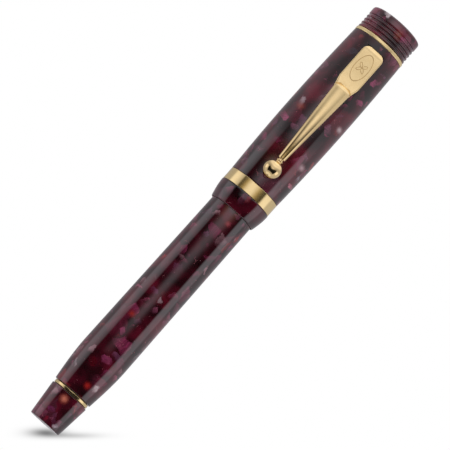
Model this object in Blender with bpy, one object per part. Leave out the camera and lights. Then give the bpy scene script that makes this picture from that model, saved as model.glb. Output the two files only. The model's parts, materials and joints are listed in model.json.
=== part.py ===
"""Piston-filling fountain pen, capped, standing on its tail.

The scene is in metres; every dimension below is in millimetres and is scaled by MM.
The origin is the centre of the flat tail face, +Z runs along the pen to the crown
of the cap, and the clip faces -Y.

Every turned piece keeps that origin, which lies on the turning axis of the cap and
of the filling knob. The clip has its origin on the axis it flexes about.

Outlines are lists of (radius, z). "Bottom" and "top" mean lower and higher Z.
"""

import math

import bmesh
import bpy
from mathutils import Matrix, Vector

MM = 0.001

# ---------------------------------------------------------------- shared dimensions
LENGTH = 140.0            # capped pen, tail face to crown face
RUN = 0.05                # running or sliding fit, on the radius
SEAT = 0.05               # end gap between two clamped pieces

SEGMENTS = 32             # round pieces of the shell
INNER_SEGMENTS = 24       # round pieces inside

# barrel
BARREL_Z0, BARREL_Z1 = 10.95, 81.0
INK_BORE_R = 4.75

# cap thread: V section, the barrel's crests clear the cap's
THREAD_Z0, THREAD_Z1 = 75.3, 80.7
THREAD_PITCH, THREAD_STARTS = 1.2, 3
THREAD_LEAD = THREAD_PITCH * THREAD_STARTS
THREAD_ROW = THREAD_PITCH / 2      # from a crest to the next root
THREAD_ROWS = round((THREAD_Z1 - THREAD_Z0) / THREAD_ROW)
THREAD_FADE = 0.25                 # part of the height kept where the thread runs out
BARREL_THREAD_ROOT, BARREL_THREAD_CREST = 5.92, 6.25
CAP_THREAD_CREST, CAP_THREAD_ROOT = 6.35, 6.68

# piston drive: two-start screw on the spindle, nut and sliding rod around it
DRIVE_LEAD = 8.0
SCREW_R_MAJOR, SCREW_R_MINOR = 1.80, 1.30
NUT_GAP = 0.20
ROD_Z0, ROD_Z1 = 14.15, 46.0
ROD_R, ROD_FLAT = 2.90, 2.20       # bar radius, axis to each flat

# cap
LIP_Z0, LIP_Z1 = 73.7, 79.1
LIP_SPIGOT_R, LIP_SPIGOT_Z1 = 7.28, 84.0
BAND_Z0, BAND_Z1 = LIP_Z1 + SEAT, 82.70
CAP_Z0, CAP_Z1 = BAND_Z1 + SEAT, 132.1
CAP_R_BAND, CAP_R_MAX, CAP_R_TOP = 7.755, 8.325, 7.85
CAP_MAX_Z = 107.6
CAP_NECK_R = 5.90
INNER_Z0 = 102.65
STUD_R, STUD_Z1 = 1.60, 136.3
CLIP_PIVOT = Vector((0.0, -8.75, 129.1))


# ---------------------------------------------------------------- mesh tools
def finish(name, shape, mat, parent=None, origin=(0, 0, 0)):
    """Turn a bmesh in pen coordinates into an object with the given origin."""
    origin = Vector(origin) * MM
    bmesh.ops.remove_doubles(shape, verts=shape.verts, dist=1e-8)
    bmesh.ops.recalc_face_normals(shape, faces=shape.faces)
    bmesh.ops.translate(shape, verts=shape.verts, vec=-origin)
    mesh = bpy.data.meshes.new(name)
    shape.to_mesh(mesh)
    shape.free()
    mesh.materials.append(mat)
    mesh.shade_smooth()
    mesh.set_sharp_from_angle(angle=math.radians(35))
    obj = bpy.data.objects.new(name, mesh)
    bpy.context.collection.objects.link(obj)
    obj.location = origin
    if parent is not None:
        obj.parent = parent
        obj.matrix_parent_inverse = Matrix.Translation(-parent.location)
    return obj


def axis_empty(name, location):
    obj = bpy.data.objects.new(name, None)
    bpy.context.collection.objects.link(obj)
    obj.location = Vector(location) * MM
    obj.empty_display_size = 4 * MM
    return obj


def spun(outline, segments):
    """A bmesh of an outline turned about Z. An outline that starts on the axis
    also ends there; any other closes on itself."""
    shape = bmesh.new()
    verts = [shape.verts.new((radius * MM, 0, z * MM)) for radius, z in outline]
    pairs = list(zip(verts, verts[1:]))
    if outline[0][0] > 0:
        pairs.append((verts[-1], verts[0]))
    edges = [shape.edges.new(pair) for pair in pairs]
    bmesh.ops.spin(shape, geom=verts + edges, cent=(0, 0, 0), axis=(0, 0, 1),
                   angle=math.tau, steps=segments, use_merge=True)
    return shape


def turned(name, outline, mat, segments=SEGMENTS, parent=None):
    return finish(name, spun(outline, segments), mat, parent)


def plain_ring(name, radii, ends, mat, segments=SEGMENTS, parent=None):
    """A ring of rectangular section; radii are (inner, outer), ends (bottom, top)."""
    inner, outer = radii
    bottom, top = ends
    outline = [(inner, bottom), (outer, bottom), (outer, top), (inner, top)]
    turned(name, outline, mat, segments, parent)


def bevelled_ring(name, radii, ends, bevel, mat, parent=None):
    """A ring with its outer edges bevelled; bevel is (radial, along Z)."""
    inner, outer = radii
    bottom, top = ends
    radial, axial = bevel
    outline = [(inner, bottom), (outer - radial, bottom), (outer, bottom + axial),
               (outer, top - axial), (outer - radial, top), (inner, top)]
    turned(name, outline, mat, parent=parent)


def o_ring(name, radius, z, half_width, half_height, mat, points=5):
    """A ring of oval section, centred at the given radius and z."""
    angles = [math.tau * k / points for k in range(points)]
    outline = [(radius + half_width * math.cos(angle), z + half_height * math.sin(angle))
               for angle in angles]
    turned(name, outline, mat, INNER_SEGMENTS)


def skinned(name, rings, mat, capped=False, diagonal=False, parent=None, origin=(0, 0, 0)):
    """A skin over rings of equally many points. Either both ends are filled flat
    (capped) or the last ring meets the first. diagonal makes triangles whose
    shared edge climbs with the angle, along a thread."""
    shape = bmesh.new()
    loops = [[shape.verts.new(Vector(point) * MM) for point in ring] for ring in rings]
    count = len(loops[0])
    pairs = list(zip(loops, loops[1:]))
    if not capped:
        pairs.append((loops[-1], loops[0]))
    for low, high in pairs:
        for i in range(count):
            j = (i + 1) % count
            if diagonal:
                shape.faces.new((low[i], low[j], high[j]))
                shape.faces.new((low[i], high[j], high[i]))
            else:
                shape.faces.new((low[i], low[j], high[j], high[i]))
    if capped:
        shape.faces.new(loops[0])
        shape.faces.new(loops[-1])
    return finish(name, shape, mat, parent, origin)


def circle(radius, z, segments):
    """One ring of points; radius is a number or a function of the angle."""
    ring = []
    for i in range(segments):
        angle = math.tau * i / segments
        reach = radius(angle) if callable(radius) else radius
        ring.append((reach * math.cos(angle), reach * math.sin(angle), z))
    return ring


def circles(outline, segments=SEGMENTS):
    return [circle(radius, z, segments) for radius, z in outline]


def box(name, low, high, mat):
    shape = bmesh.new()
    bmesh.ops.create_cube(shape, size=1.0)
    size = Vector(high) - Vector(low)
    centre = (Vector(high) + Vector(low)) / 2
    bmesh.ops.transform(shape, verts=shape.verts, matrix=Matrix.Translation(centre * MM)
                        @ Matrix.Diagonal((*(size * MM), 1.0)))
    return finish(name, shape, mat)


def boolean(obj, tool, operation):
    modifier = obj.modifiers.new(operation.lower(), "BOOLEAN")
    modifier.operation = operation
    modifier.solver = "EXACT"
    modifier.object = tool
    tool.hide_render = True
    tool.display_type = "WIRE"


def smooth(part):
    """Ease from 0 to 1, flat at both ends."""
    part = min(1.0, max(0.0, part))
    return part * part * (3 - 2 * part)


def blend(start, end, part):
    return start + (end - start) * part


def steps(start, end, count):
    return [start + (end - start) * i / count for i in range(count + 1)]


# ---------------------------------------------------------------- sections and threads
def hexagon(apothem):
    def radius(angle):
        from_flat = (angle + math.pi / 6) % (math.pi / 3) - math.pi / 6
        return apothem / math.cos(from_flat)
    return radius


def flatted(bar_radius, half):
    """A round bar with two flats facing +X and -X."""
    def radius(angle):
        cosine = abs(math.cos(angle))
        return min(bar_radius, half / cosine) if cosine > 1e-9 else bar_radius
    return radius


def screw_section(z, gap=0.0):
    """Two-lobed section of the right-handed drive screw at z, grown by gap."""
    turn = math.tau * z / DRIVE_LEAD
    middle = (SCREW_R_MAJOR + SCREW_R_MINOR) / 2 + gap
    swing = (SCREW_R_MAJOR - SCREW_R_MINOR) / 2

    def radius(angle):
        return middle + swing * math.cos(2 * (angle - turn))
    return radius


def thread_rings(root, crest):
    """Rings of the cap thread: alternate rows ride on root and crest and climb
    with the angle by one lead a turn, between a flat first and last row."""
    rings = [circle(root, THREAD_Z0, SEGMENTS)]
    for row in range(1, THREAD_ROWS):
        ring = []
        for i in range(SEGMENTS):
            angle = math.tau * i / SEGMENTS
            climb = THREAD_LEAD * i / SEGMENTS / THREAD_ROW
            lift = climb - math.floor(climb)
            on_crest = (row - math.floor(climb)) % 2 == 0
            radius = crest if on_crest else root
            # just short of a whole row, so that rows never touch
            z = THREAD_Z0 + (row + lift * 0.999) * THREAD_ROW
            starting = row == 1 and lift < 0.5
            ending = row == THREAD_ROWS - 1 and lift > 0.5
            if starting or ending:
                radius = blend(root, radius, THREAD_FADE)
            ring.append((radius * math.cos(angle), radius * math.sin(angle), z))
        rings.append(ring)
    rings.append(circle(root, THREAD_Z1, SEGMENTS))
    return rings


# ---------------------------------------------------------------- filling knob and spindle
KNOB_TOP = 9.75
KNOB_R_TAIL, KNOB_R_TOP = 4.72, 5.70
KNOB_MID_Z = 5.0
KNOB_RECESS_R = 3.0
HEX_APOTHEM = 2.0
JOURNAL_R, FLANGE_R = 2.90, 3.95
FLANGE_Z0, FLANGE_Z1 = 12.5, 13.85
SCREW_Z0, SCREW_Z1 = 13.9, 43.0
SPINDLE_SEGMENTS = 12


def piston_knob(resin, knob_axis):
    """Conical knob with a hexagonal socket."""
    socket = hexagon(HEX_APOTHEM + RUN)
    slope = (KNOB_R_TOP - KNOB_R_TAIL) / KNOB_TOP
    outline = [(socket, 1.9), (socket, 8.85),
               (KNOB_RECESS_R, 8.90), (KNOB_RECESS_R, KNOB_TOP),
               (KNOB_R_TOP - 0.2, KNOB_TOP), (KNOB_R_TOP - 0.02, KNOB_TOP - 0.2),
               (KNOB_R_TAIL + slope * KNOB_MID_Z, KNOB_MID_Z),
               (KNOB_R_TAIL, 0.12), (KNOB_R_TAIL - 0.12, 0.0)]
    skinned("piston_knob", circles(outline, 36), resin, capped=True, parent=knob_axis)


def piston_spindle(brass, knob_axis):
    """Hexagonal drive, journal, flange, then the drive screw."""
    drive = hexagon(HEX_APOTHEM)
    outline = [(drive, 2.1), (drive, 9.05),
               (JOURNAL_R, 9.10), (JOURNAL_R, FLANGE_Z0),
               (FLANGE_R, FLANGE_Z0), (FLANGE_R, FLANGE_Z1)]
    # one point of twist to each row, so that the diagonals follow the thread
    row = DRIVE_LEAD / SPINDLE_SEGMENTS
    first = round(SCREW_Z0 / row)
    count = int((SCREW_Z1 - SCREW_Z0) / row)
    heights = [k * row for k in range(first, first + count + 1)]
    outline += [(screw_section(z), z) for z in heights]
    skinned("piston_spindle", circles(outline, SPINDLE_SEGMENTS), brass,
            capped=True, diagonal=True, parent=knob_axis)


# ---------------------------------------------------------------- fixed pieces in the tail
TAIL_RING_RADII, TAIL_RING_ENDS, TAIL_RING_BEVEL = (3.10, 5.45), (9.85, 10.88), (0.08, 0.12)

SLEEVE_Z0, SLEEVE_Z1, SLEEVE_R = BARREL_Z0 + SEAT, 44.0, 4.70
SLEEVE_BORE_R, SLEEVE_MOUTH_R = 3.4, 4.10
SLEEVE_MOUTH_Z, SLEEVE_KEY_Z = 14.1, 40.0
KEY_GAP = 0.10            # rod in the sleeve's flatted hole

# (radius, z): flat ring with a groove in its bore
RETAINER_OUTLINE = [
    (3.05, 11.0), (4.02, 11.0), (4.02, 12.3), (3.05, 12.3),
    (3.05, 12.0), (3.55, 12.0), (3.55, 11.3), (3.05, 11.3),
]


def tail_ring(gold):
    bevelled_ring("tail_ring", TAIL_RING_RADII, TAIL_RING_ENDS, TAIL_RING_BEVEL, gold)


def spindle_retainer(brass):
    turned("spindle_retainer", RETAINER_OUTLINE, brass, INNER_SEGMENTS)


def spindle_oring(rubber):
    o_ring("spindle_oring", radius=3.23, z=11.65, half_width=0.25, half_height=0.27, mat=rubber)


def guide_sleeve(brass):
    """Sleeve whose flatted hole at the top keeps the rod from turning."""
    key = flatted(ROD_R + KEY_GAP, ROD_FLAT + KEY_GAP)
    outline = [(SLEEVE_R, SLEEVE_Z0), (SLEEVE_R, SLEEVE_Z1 - 0.4), (SLEEVE_R - 0.4, SLEEVE_Z1),
               (key, SLEEVE_Z1), (key, SLEEVE_KEY_Z),
               (SLEEVE_BORE_R, SLEEVE_KEY_Z), (SLEEVE_BORE_R, SLEEVE_MOUTH_Z),
               (SLEEVE_MOUTH_R, SLEEVE_MOUTH_Z), (SLEEVE_MOUTH_R, SLEEVE_Z0)]
    skinned("guide_sleeve", circles(outline, INNER_SEGMENTS), brass)


# ---------------------------------------------------------------- piston
ROD_BORE_R, ROD_BORE_Z1 = 2.15, 44.3
ROD_TIP_R, ROD_TIP_Z = 1.80, 49.4
NUT_ROWS = 12
HEAD_Z0, HEAD_Z1 = 46.1, 52.0
HEAD_R = INK_BORE_R - 0.20
HEAD_SOCKET_R, HEAD_SOCKET_Z = 1.9, 49.6
SEAL_GROOVE_R, SEAL_GROOVE_W = 4.05, 1.2
SEAL_GROOVES = {"piston_seal_rear": 47.0, "piston_seal_front": 49.8}    # bottom of each


def piston_rod(black, slide_axis):
    """Flatted rod with a tip; the twisted hole in its tail end is the nut."""
    bar = flatted(ROD_R, ROD_FLAT)
    row = DRIVE_LEAD / INNER_SEGMENTS
    first = math.ceil(ROD_Z0 / row)
    nut_heights = [ROD_Z0] + [k * row for k in range(first, first + NUT_ROWS)]
    # down the outside from the tip, then up the hole to its closed end
    outline = [(ROD_TIP_R, ROD_TIP_Z), (ROD_TIP_R, ROD_Z1), (bar, ROD_Z1), (bar, ROD_Z0)]
    outline += [(screw_section(z, NUT_GAP), z) for z in nut_heights]
    outline += [(ROD_BORE_R, nut_heights[-1] + 0.05), (ROD_BORE_R, ROD_BORE_Z1)]
    skinned("piston_rod", circles(outline, INNER_SEGMENTS), black,
            capped=True, parent=slide_axis)


def piston_head(ptfe, slide_axis):
    outline = [(0, HEAD_SOCKET_Z), (HEAD_SOCKET_R, HEAD_SOCKET_Z),
               (HEAD_SOCKET_R, HEAD_Z0), (HEAD_R, HEAD_Z0)]
    for z in SEAL_GROOVES.values():
        top = z + SEAL_GROOVE_W
        outline += [(HEAD_R, z), (SEAL_GROOVE_R, z), (SEAL_GROOVE_R, top), (HEAD_R, top)]
    outline += [(HEAD_R, HEAD_Z1 - 0.3), (HEAD_R - 0.5, HEAD_Z1), (0, HEAD_Z1)]
    turned("piston_head", outline, ptfe, INNER_SEGMENTS, slide_axis)


def piston_seals(rubber, slide_axis):
    inner = SEAL_GROOVE_R + 0.05
    outer = INK_BORE_R - RUN
    shoulder = outer - 0.15
    for name, z in SEAL_GROOVES.items():
        outline = [(inner, z + 0.1), (shoulder, z + 0.1), (outer, z + 0.45),
                   (outer, z + 0.75), (shoulder, z + 1.1), (inner, z + 1.1)]
        turned(name, outline, rubber, INNER_SEGMENTS, slide_axis)


# ---------------------------------------------------------------- barrel
BARREL_R_TAIL, BARREL_R_MAX, BARREL_R_LIP = 5.85, 6.85, 6.51
BARREL_SHOULDER_Z, BARREL_LIP_Z = 23.85, 72.0
SPIGOT_Z0, SPIGOT_BORE_R = 76.6, 5.15


def barrel_radius(z):
    """Quarter-sine shoulder at the tail, then a long slow taper."""
    if z < BARREL_SHOULDER_Z:
        part = (z - BARREL_Z0) / (BARREL_SHOULDER_Z - BARREL_Z0)
        return blend(BARREL_R_TAIL, BARREL_R_MAX, math.sin(math.pi / 2 * part))
    part = (z - BARREL_SHOULDER_Z) / (BARREL_LIP_Z - BARREL_SHOULDER_Z)
    return blend(BARREL_R_MAX, BARREL_R_LIP, part)


def barrel(resin):
    heights = steps(BARREL_Z0 + 0.18, BARREL_SHOULDER_Z, 6) + [36.0, 54.0, BARREL_LIP_Z, 74.6]
    outside = [(BARREL_R_TAIL - 0.12, BARREL_Z0)]
    outside += [(barrel_radius(z), z) for z in heights]
    outside += [(BARREL_THREAD_ROOT, 75.0)]
    inside = [(BARREL_THREAD_ROOT, BARREL_Z1), (SPIGOT_BORE_R, BARREL_Z1),
              (SPIGOT_BORE_R, SPIGOT_Z0), (INK_BORE_R, SPIGOT_Z0), (INK_BORE_R, BARREL_Z0)]
    thread = thread_rings(BARREL_THREAD_ROOT, BARREL_THREAD_CREST)
    skinned("barrel", circles(outside) + thread + circles(inside), resin, diagonal=True)


# ---------------------------------------------------------------- grip section
GRIP_Z0, GRIP_WAIST_Z, GRIP_Z1 = 81.9, 97.0, 101.6
GRIP_R, GRIP_R_WAIST, GRIP_R_NOSE = 5.85, 4.95, 5.30
RING_GAP = 0.06           # end gap below a ring on the section

# (radius, z): spigot below the grip, with its seal groove
SECTION_SPIGOT = [
    (3.0, 76.7), (4.9, 76.7), (5.08, 76.95), (5.08, 79.85),
    (4.70, 79.85), (4.70, 80.75), (5.08, 80.75), (5.08, GRIP_Z0),
]
# (radius, z): nose above the grip, then down the bore
SECTION_NOSE = [(4.5, GRIP_Z1), (4.5, 102.5), (3.95, 102.5), (3.95, 84.0), (3.0, 84.0)]

SECTION_RING_RADII = (5.14, 6.05)
SECTION_RING_ENDS = (BARREL_Z1 + RING_GAP, GRIP_Z0 - RING_GAP)
FRONT_RING_RADII = (4.55, 5.36)
FRONT_RING_ENDS = (GRIP_Z1 + RING_GAP, 102.46)


def grip_radius(z):
    """Eases in to a waist, then flares to the nose ring."""
    if z < GRIP_WAIST_Z:
        return blend(GRIP_R, GRIP_R_WAIST, smooth((z - GRIP_Z0) / (GRIP_WAIST_Z - GRIP_Z0)))
    part = (z - GRIP_WAIST_Z) / (GRIP_Z1 - GRIP_WAIST_Z)
    return blend(GRIP_R_WAIST, GRIP_R_NOSE, part ** 1.8)


def section(resin):
    heights = steps(GRIP_Z0, GRIP_WAIST_Z, 4) + [99.0, 100.6, GRIP_Z1]
    grip = [(grip_radius(z), z) for z in heights]
    turned("section", SECTION_SPIGOT + grip + SECTION_NOSE, resin, INNER_SEGMENTS)


def section_rings(gold):
    plain_ring("section_ring", SECTION_RING_RADII, SECTION_RING_ENDS, gold)
    plain_ring("front_ring", FRONT_RING_RADII, FRONT_RING_ENDS, gold)


def section_oring(rubber):
    o_ring("section_oring", radius=4.90, z=80.3, half_width=0.15, half_height=0.36, mat=rubber)


# ---------------------------------------------------------------- nib unit
NIB_HEEL_Z, NIB_OUT_Z, NIB_SHOULDER_Z, NIB_TIP_Z = 89.0, 103.0, 107.0, 122.0
NIB_R, NIB_T = 3.17, 0.30
NIB_HEEL_HALF = NIB_R * math.radians(100)
NIB_SHOULDER_HALF = NIB_HEEL_HALF - 0.15
NIB_TIP_HALF = 0.55
NIB_STRIPS = 10           # across the nib
VENT_R, VENT_Z = 0.75, 110.9
SLIT_LOW, SLIT_HIGH = (-0.07, -6, 111.0), (0.07, 3, 124.0)

TIP_OFFSET = (0.31, 0.20, 0.55)    # pellet from the nib's point: to the side, +Y, +Z
TIP_SIZE = (0.22, 0.38, 0.50)      # half axes

# (radius, z)
HOUSING_OUTLINE = [
    (1.0, 84.3), (3.6, 84.3), (3.88, 84.6), (3.88, 102.3),
    (3.24, 102.3), (3.24, 85.0), (1.0, 85.0),
]

FEED_R = 2.80
FEED_TAPER = 14.5         # length over which the half axes shrink by FEED_SHRINK
FEED_SHRINK = (1.9, 2.1)  # X, Y
FEED_NIB_GAP = 0.07
FEED_CUTS, FEED_CUT_Z0, FEED_CUT_PITCH = 6, 104.0, 1.5
FEED_CUT_SCALE = 0.62     # size of the +Y side inside a cut
FEED_SEGMENTS = 16


def nib_apex(z):
    """Distance from the axis to the nib's outer face at its middle, on -Y."""
    part = max(0.0, (z - NIB_OUT_Z) / (NIB_TIP_Z - NIB_OUT_Z))
    return NIB_R - 1.30 * part ** 1.6


def nib_bend(z):
    """Radius the nib is bent to; it flattens towards the tip."""
    return NIB_R + 2.4 * smooth((z - NIB_OUT_Z) / 10.0)


def nib_half(z):
    """Half the width of the nib measured round its curve."""
    if z <= NIB_OUT_Z:
        return NIB_HEEL_HALF
    if z <= NIB_SHOULDER_Z:
        part = (z - NIB_OUT_Z) / (NIB_SHOULDER_Z - NIB_OUT_Z)
        return blend(NIB_HEEL_HALF, NIB_SHOULDER_HALF, part)
    part = (z - NIB_SHOULDER_Z) / (NIB_TIP_Z - NIB_SHOULDER_Z)
    return NIB_TIP_HALF + (NIB_SHOULDER_HALF - NIB_TIP_HALF) * (1 - part) ** 1.25


def nib_ring(z):
    """Across the outer face and back across the inner one."""
    apex, bend, half = nib_apex(z), nib_bend(z), nib_half(z)
    across = range(NIB_STRIPS + 1)
    ring = []
    for radius, order in ((bend, across), (bend - NIB_T, reversed(across))):
        for i in order:
            angle = half / bend * (2 * i / NIB_STRIPS - 1)
            ring.append((radius * math.sin(angle), bend - apex - radius * math.cos(angle), z))
    return ring


def nib_hole_cutter(black):
    """A round bar along Y."""
    shape = bmesh.new()
    place = Matrix.Translation(Vector((0, -3, VENT_Z)) * MM)
    bmesh.ops.create_cone(shape, cap_ends=True, segments=12, radius1=VENT_R * MM,
                          radius2=VENT_R * MM, depth=8 * MM,
                          matrix=place @ Matrix.Rotation(math.pi / 2, 4, "X"))
    return finish("nib_hole_cutter", shape, black)


def nib(gold, black):
    heights = [NIB_HEEL_Z, NIB_OUT_Z, 105.5] + steps(NIB_SHOULDER_Z, NIB_TIP_Z, 8)
    blade = skinned("nib", [nib_ring(z) for z in heights], gold, capped=True)
    boolean(blade, box("nib_slit_cutter", SLIT_LOW, SLIT_HIGH, black), "DIFFERENCE")
    boolean(blade, nib_hole_cutter(black), "DIFFERENCE")


def nib_tips(steel):
    """An oval pellet on each side of the slit."""
    aside, inward, beyond = TIP_OFFSET
    for name, side in (("nib_tip_left", -1), ("nib_tip_right", 1)):
        centre = Vector((side * aside, inward - nib_apex(NIB_TIP_Z), NIB_TIP_Z + beyond))
        shape = bmesh.new()
        bmesh.ops.create_icosphere(shape, subdivisions=2, radius=1.0)
        bmesh.ops.transform(shape, verts=shape.verts, matrix=Matrix.Translation(centre * MM)
                            @ Matrix.Diagonal((*(Vector(TIP_SIZE) * MM), 1.0)))
        finish(name, shape, steel)


def nib_housing(black):
    turned("nib_housing", HOUSING_OUTLINE, black, INNER_SEGMENTS)


def feed_ring(z, scale=1.0):
    """Oval section that follows the nib's inner face; scale shrinks its +Y side."""
    part = max(0.0, (z - NIB_OUT_Z) / FEED_TAPER)
    half_x, half_y = (FEED_R - shrink * part for shrink in FEED_SHRINK)
    centre_y = half_y - (nib_apex(z) - NIB_T - FEED_NIB_GAP) if z > NIB_OUT_Z else 0.0
    ring = []
    for i in range(FEED_SEGMENTS):
        angle = math.tau * i / FEED_SEGMENTS
        x, y = half_x * math.cos(angle), half_y * math.sin(angle)
        if y > 0.1:
            x, y = x * scale, y * scale
        ring.append((x, centre_y + y, z))
    return ring


def feed(black):
    """Tapered feed with a row of cross cuts on its +Y side."""
    rings = [feed_ring(85.3), feed_ring(NIB_OUT_Z)]
    for k in range(FEED_CUTS):
        z = FEED_CUT_Z0 + FEED_CUT_PITCH * k
        rings += [feed_ring(z), feed_ring(z + 0.02, FEED_CUT_SCALE),
                  feed_ring(z + 0.62, FEED_CUT_SCALE), feed_ring(z + 0.64)]
    rings += [feed_ring(114.0), feed_ring(116.6)]
    skinned("feed", rings, black, capped=True)


# ---------------------------------------------------------------- cap
LIP_R_EDGE, LIP_R_TOP = 6.98, 7.80
BAND_R, BAND_BEVEL = 7.74, (0.08, 0.10)
CAP_BORE_R, CAP_NECK_Z = 6.75, 126.9
CAP_HEIGHTS = [82.87, 87.5, 93.0, 100.0, CAP_MAX_Z, 115.0, 121.0, 126.5, 131.95]
SLOT_LOW, SLOT_HIGH = (-2.75, -10.0, 128.15), (2.75, -4.0, 129.95)
INNER_Z1, INNER_R, INNER_BORE = 126.6, 6.70, 5.75

CROWN_RING_Z0, CROWN_RING_Z1 = CAP_Z1 + SEAT, 133.05
CROWN_RING_R, CROWN_RING_BEVEL = 7.91, (0.10, 0.14)
CROWN_Z0, CROWN_FOOT_Z = CROWN_RING_Z1 + SEAT, 130.3
CROWN_R, CROWN_GROOVE_R = 7.77, 7.36
CROWN_GROOVES, CROWN_GROOVE_Z0, CROWN_GROOVE_PITCH, CROWN_GROOVE_W = 4, 134.25, 1.083, 0.42
STUD_Z0 = 125.2
WASHER_RADII, WASHER_ENDS = (STUD_R + 0.4, 5.75), (127.1, 128.1)


def cap_radius(z):
    """Cap tube: parabolic fall from the widest point to either end."""
    if z < CAP_MAX_Z:
        part = (CAP_MAX_Z - z) / (CAP_MAX_Z - CAP_Z0)
        return CAP_R_MAX - (CAP_R_MAX - CAP_R_BAND) * part * part
    part = (z - CAP_MAX_Z) / (CAP_Z1 - CAP_MAX_Z)
    return CAP_R_MAX - (CAP_R_MAX - CAP_R_TOP) * part * part


def lip_radius(z):
    part = (z - LIP_Z0) / (LIP_Z1 - LIP_Z0)
    return blend(LIP_R_EDGE, LIP_R_TOP, math.sin(math.pi / 2 * part))


def inner_cap(clear, pull_axis):
    """Liner over the nib, with a socket for the stud in its top."""
    socket = STUD_R + 0.12
    outline = [(0, 125.0), (socket, 125.0), (socket, INNER_Z1),
               (INNER_R - 0.3, INNER_Z1), (INNER_R, INNER_Z1 - 0.3),
               (INNER_R, INNER_Z0 + 0.2), (INNER_R - 0.2, INNER_Z0),
               (5.10, INNER_Z0), (5.10, INNER_Z0 + 1.2),
               (INNER_BORE, INNER_Z0 + 1.8), (INNER_BORE, 123.6), (0, 123.6)]
    turned("inner_cap", outline, clear, INNER_SEGMENTS, pull_axis)


def cap_lip(resin, turn_axis):
    """Flared lip, spigot into the cap tube, and thread inside."""
    outside = [(LIP_R_EDGE - 0.14, LIP_Z0)]
    outside += [(lip_radius(z), z) for z in (73.86, 74.7, 75.8, 77.2, 78.8)]
    outside += [(LIP_R_TOP - 0.10, LIP_Z1), (LIP_SPIGOT_R, LIP_Z1),
                (LIP_SPIGOT_R, LIP_SPIGOT_Z1), (CAP_THREAD_ROOT + 0.04, LIP_SPIGOT_Z1)]
    thread = thread_rings(CAP_THREAD_ROOT, CAP_THREAD_CREST)
    mouth = [(CAP_THREAD_ROOT, 74.2), (CAP_THREAD_ROOT + 0.08, LIP_Z0)]
    skinned("cap_lip", circles(outside) + thread[::-1] + circles(mouth), resin,
            parent=turn_axis)


def cap_band(gold, turn_axis):
    bevelled_ring("cap_band", (LIP_SPIGOT_R + RUN, BAND_R), (BAND_Z0, BAND_Z1), BAND_BEVEL,
                  gold, turn_axis)


def cap_shell(resin, turn_axis):
    """Cap tube with a slot for the clip's tang."""
    spigot_bore, spigot_top = LIP_SPIGOT_R + RUN, LIP_SPIGOT_Z1 + 0.1
    outline = [(cap_radius(CAP_Z0) - 0.08, CAP_Z0)]
    outline += [(cap_radius(z), z) for z in CAP_HEIGHTS]
    outline += [(CAP_R_TOP - 0.10, CAP_Z1), (CAP_NECK_R, CAP_Z1), (CAP_NECK_R, CAP_NECK_Z),
                (CAP_BORE_R, CAP_NECK_Z), (CAP_BORE_R, spigot_top),
                (spigot_bore, spigot_top), (spigot_bore, CAP_Z0)]
    shell = turned("cap_shell", outline, resin, parent=turn_axis)
    boolean(shell, box("clip_slot_cutter", SLOT_LOW, SLOT_HIGH, resin), "DIFFERENCE")


def crown_ring(gold, turn_axis):
    bevelled_ring("crown_ring", (CAP_NECK_R, CROWN_RING_R), (CROWN_RING_Z0, CROWN_RING_Z1),
                  CROWN_RING_BEVEL, gold, turn_axis)


def cap_crown(resin, turn_axis):
    """Grooved crown with a foot in the cap's neck and a blind hole for the stud."""
    hole = STUD_R + RUN
    foot = CAP_NECK_R - RUN - 0.05
    outline = [(0, STUD_Z1 + 0.1), (hole, STUD_Z1 + 0.1), (hole, CROWN_FOOT_Z),
               (foot, CROWN_FOOT_Z), (foot, CROWN_Z0),
               (CROWN_R - 0.30, CROWN_Z0), (CROWN_R, CROWN_Z0 + 0.26)]
    half = CROWN_GROOVE_W / 2
    floor = half * 0.7
    for k in range(CROWN_GROOVES):
        z = CROWN_GROOVE_Z0 + k * CROWN_GROOVE_PITCH
        outline += [(CROWN_R, z - half), (CROWN_GROOVE_R, z - floor),
                    (CROWN_GROOVE_R, z + floor), (CROWN_R, z + half)]
    outline += [(CROWN_R - 0.01, LENGTH - 0.40), (CROWN_R - 0.12, LENGTH - 0.12),
                (CROWN_R - 0.42, LENGTH), (0, LENGTH)]
    turned("cap_crown", outline, resin, parent=turn_axis)


def crown_stud(brass, turn_axis):
    outline = [(0, STUD_Z0), (STUD_R - 0.3, STUD_Z0), (STUD_R, STUD_Z0 + 0.3),
               (STUD_R, STUD_Z1), (0, STUD_Z1)]
    turned("crown_stud", outline, brass, 16, turn_axis)


def clip_washer(brass, turn_axis):
    plain_ring("clip_washer", WASHER_RADII, WASHER_ENDS, brass, INNER_SEGMENTS, turn_axis)


# ---------------------------------------------------------------- clip
BALL_R, BALL_Z, BALL_Y = 2.525, 87.9, -10.72
BALL_NECK_R, BALL_STEPS = 0.95, 9
CLIP_TOP_Z, CLIP_PLATE_END_Z, CLIP_CONE_Z, CLIP_NECK_Z = 129.7, 118.7, 115.4, 90.95
CLIP_HALF_W, CLIP_CONE_HALF_W, CLIP_NECK_HALF_W = 3.25, 2.50, 1.06
CLIP_PLATE_T, CLIP_CONE_T = 1.0, 2.25
CLIP_RISE = 0.25                                # plate's lean away from the cap
CLIP_BACK_TOP = cap_radius(124.0) + 0.40        # axis to the clip's back, at the top
CLIP_BACK_CONE = CLIP_BACK_TOP + CLIP_RISE
CLIP_BACK_NECK = -BALL_Y - CLIP_NECK_HALF_W
TANG_LOW, TANG_HIGH = (-2.4, -9.2, 128.65), (2.4, -5.45, 129.5)

# (z, half width, thickness) down the flat plate
CLIP_PLATE = [
    (CLIP_TOP_Z, 2.35, CLIP_PLATE_T - 0.25),
    (CLIP_TOP_Z - 0.3, 2.95, CLIP_PLATE_T),
    (CLIP_TOP_Z - 1.1, CLIP_HALF_W, CLIP_PLATE_T),
    (124.0, CLIP_HALF_W, CLIP_PLATE_T),
    (CLIP_PLATE_END_Z, CLIP_HALF_W, CLIP_PLATE_T),
]


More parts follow.
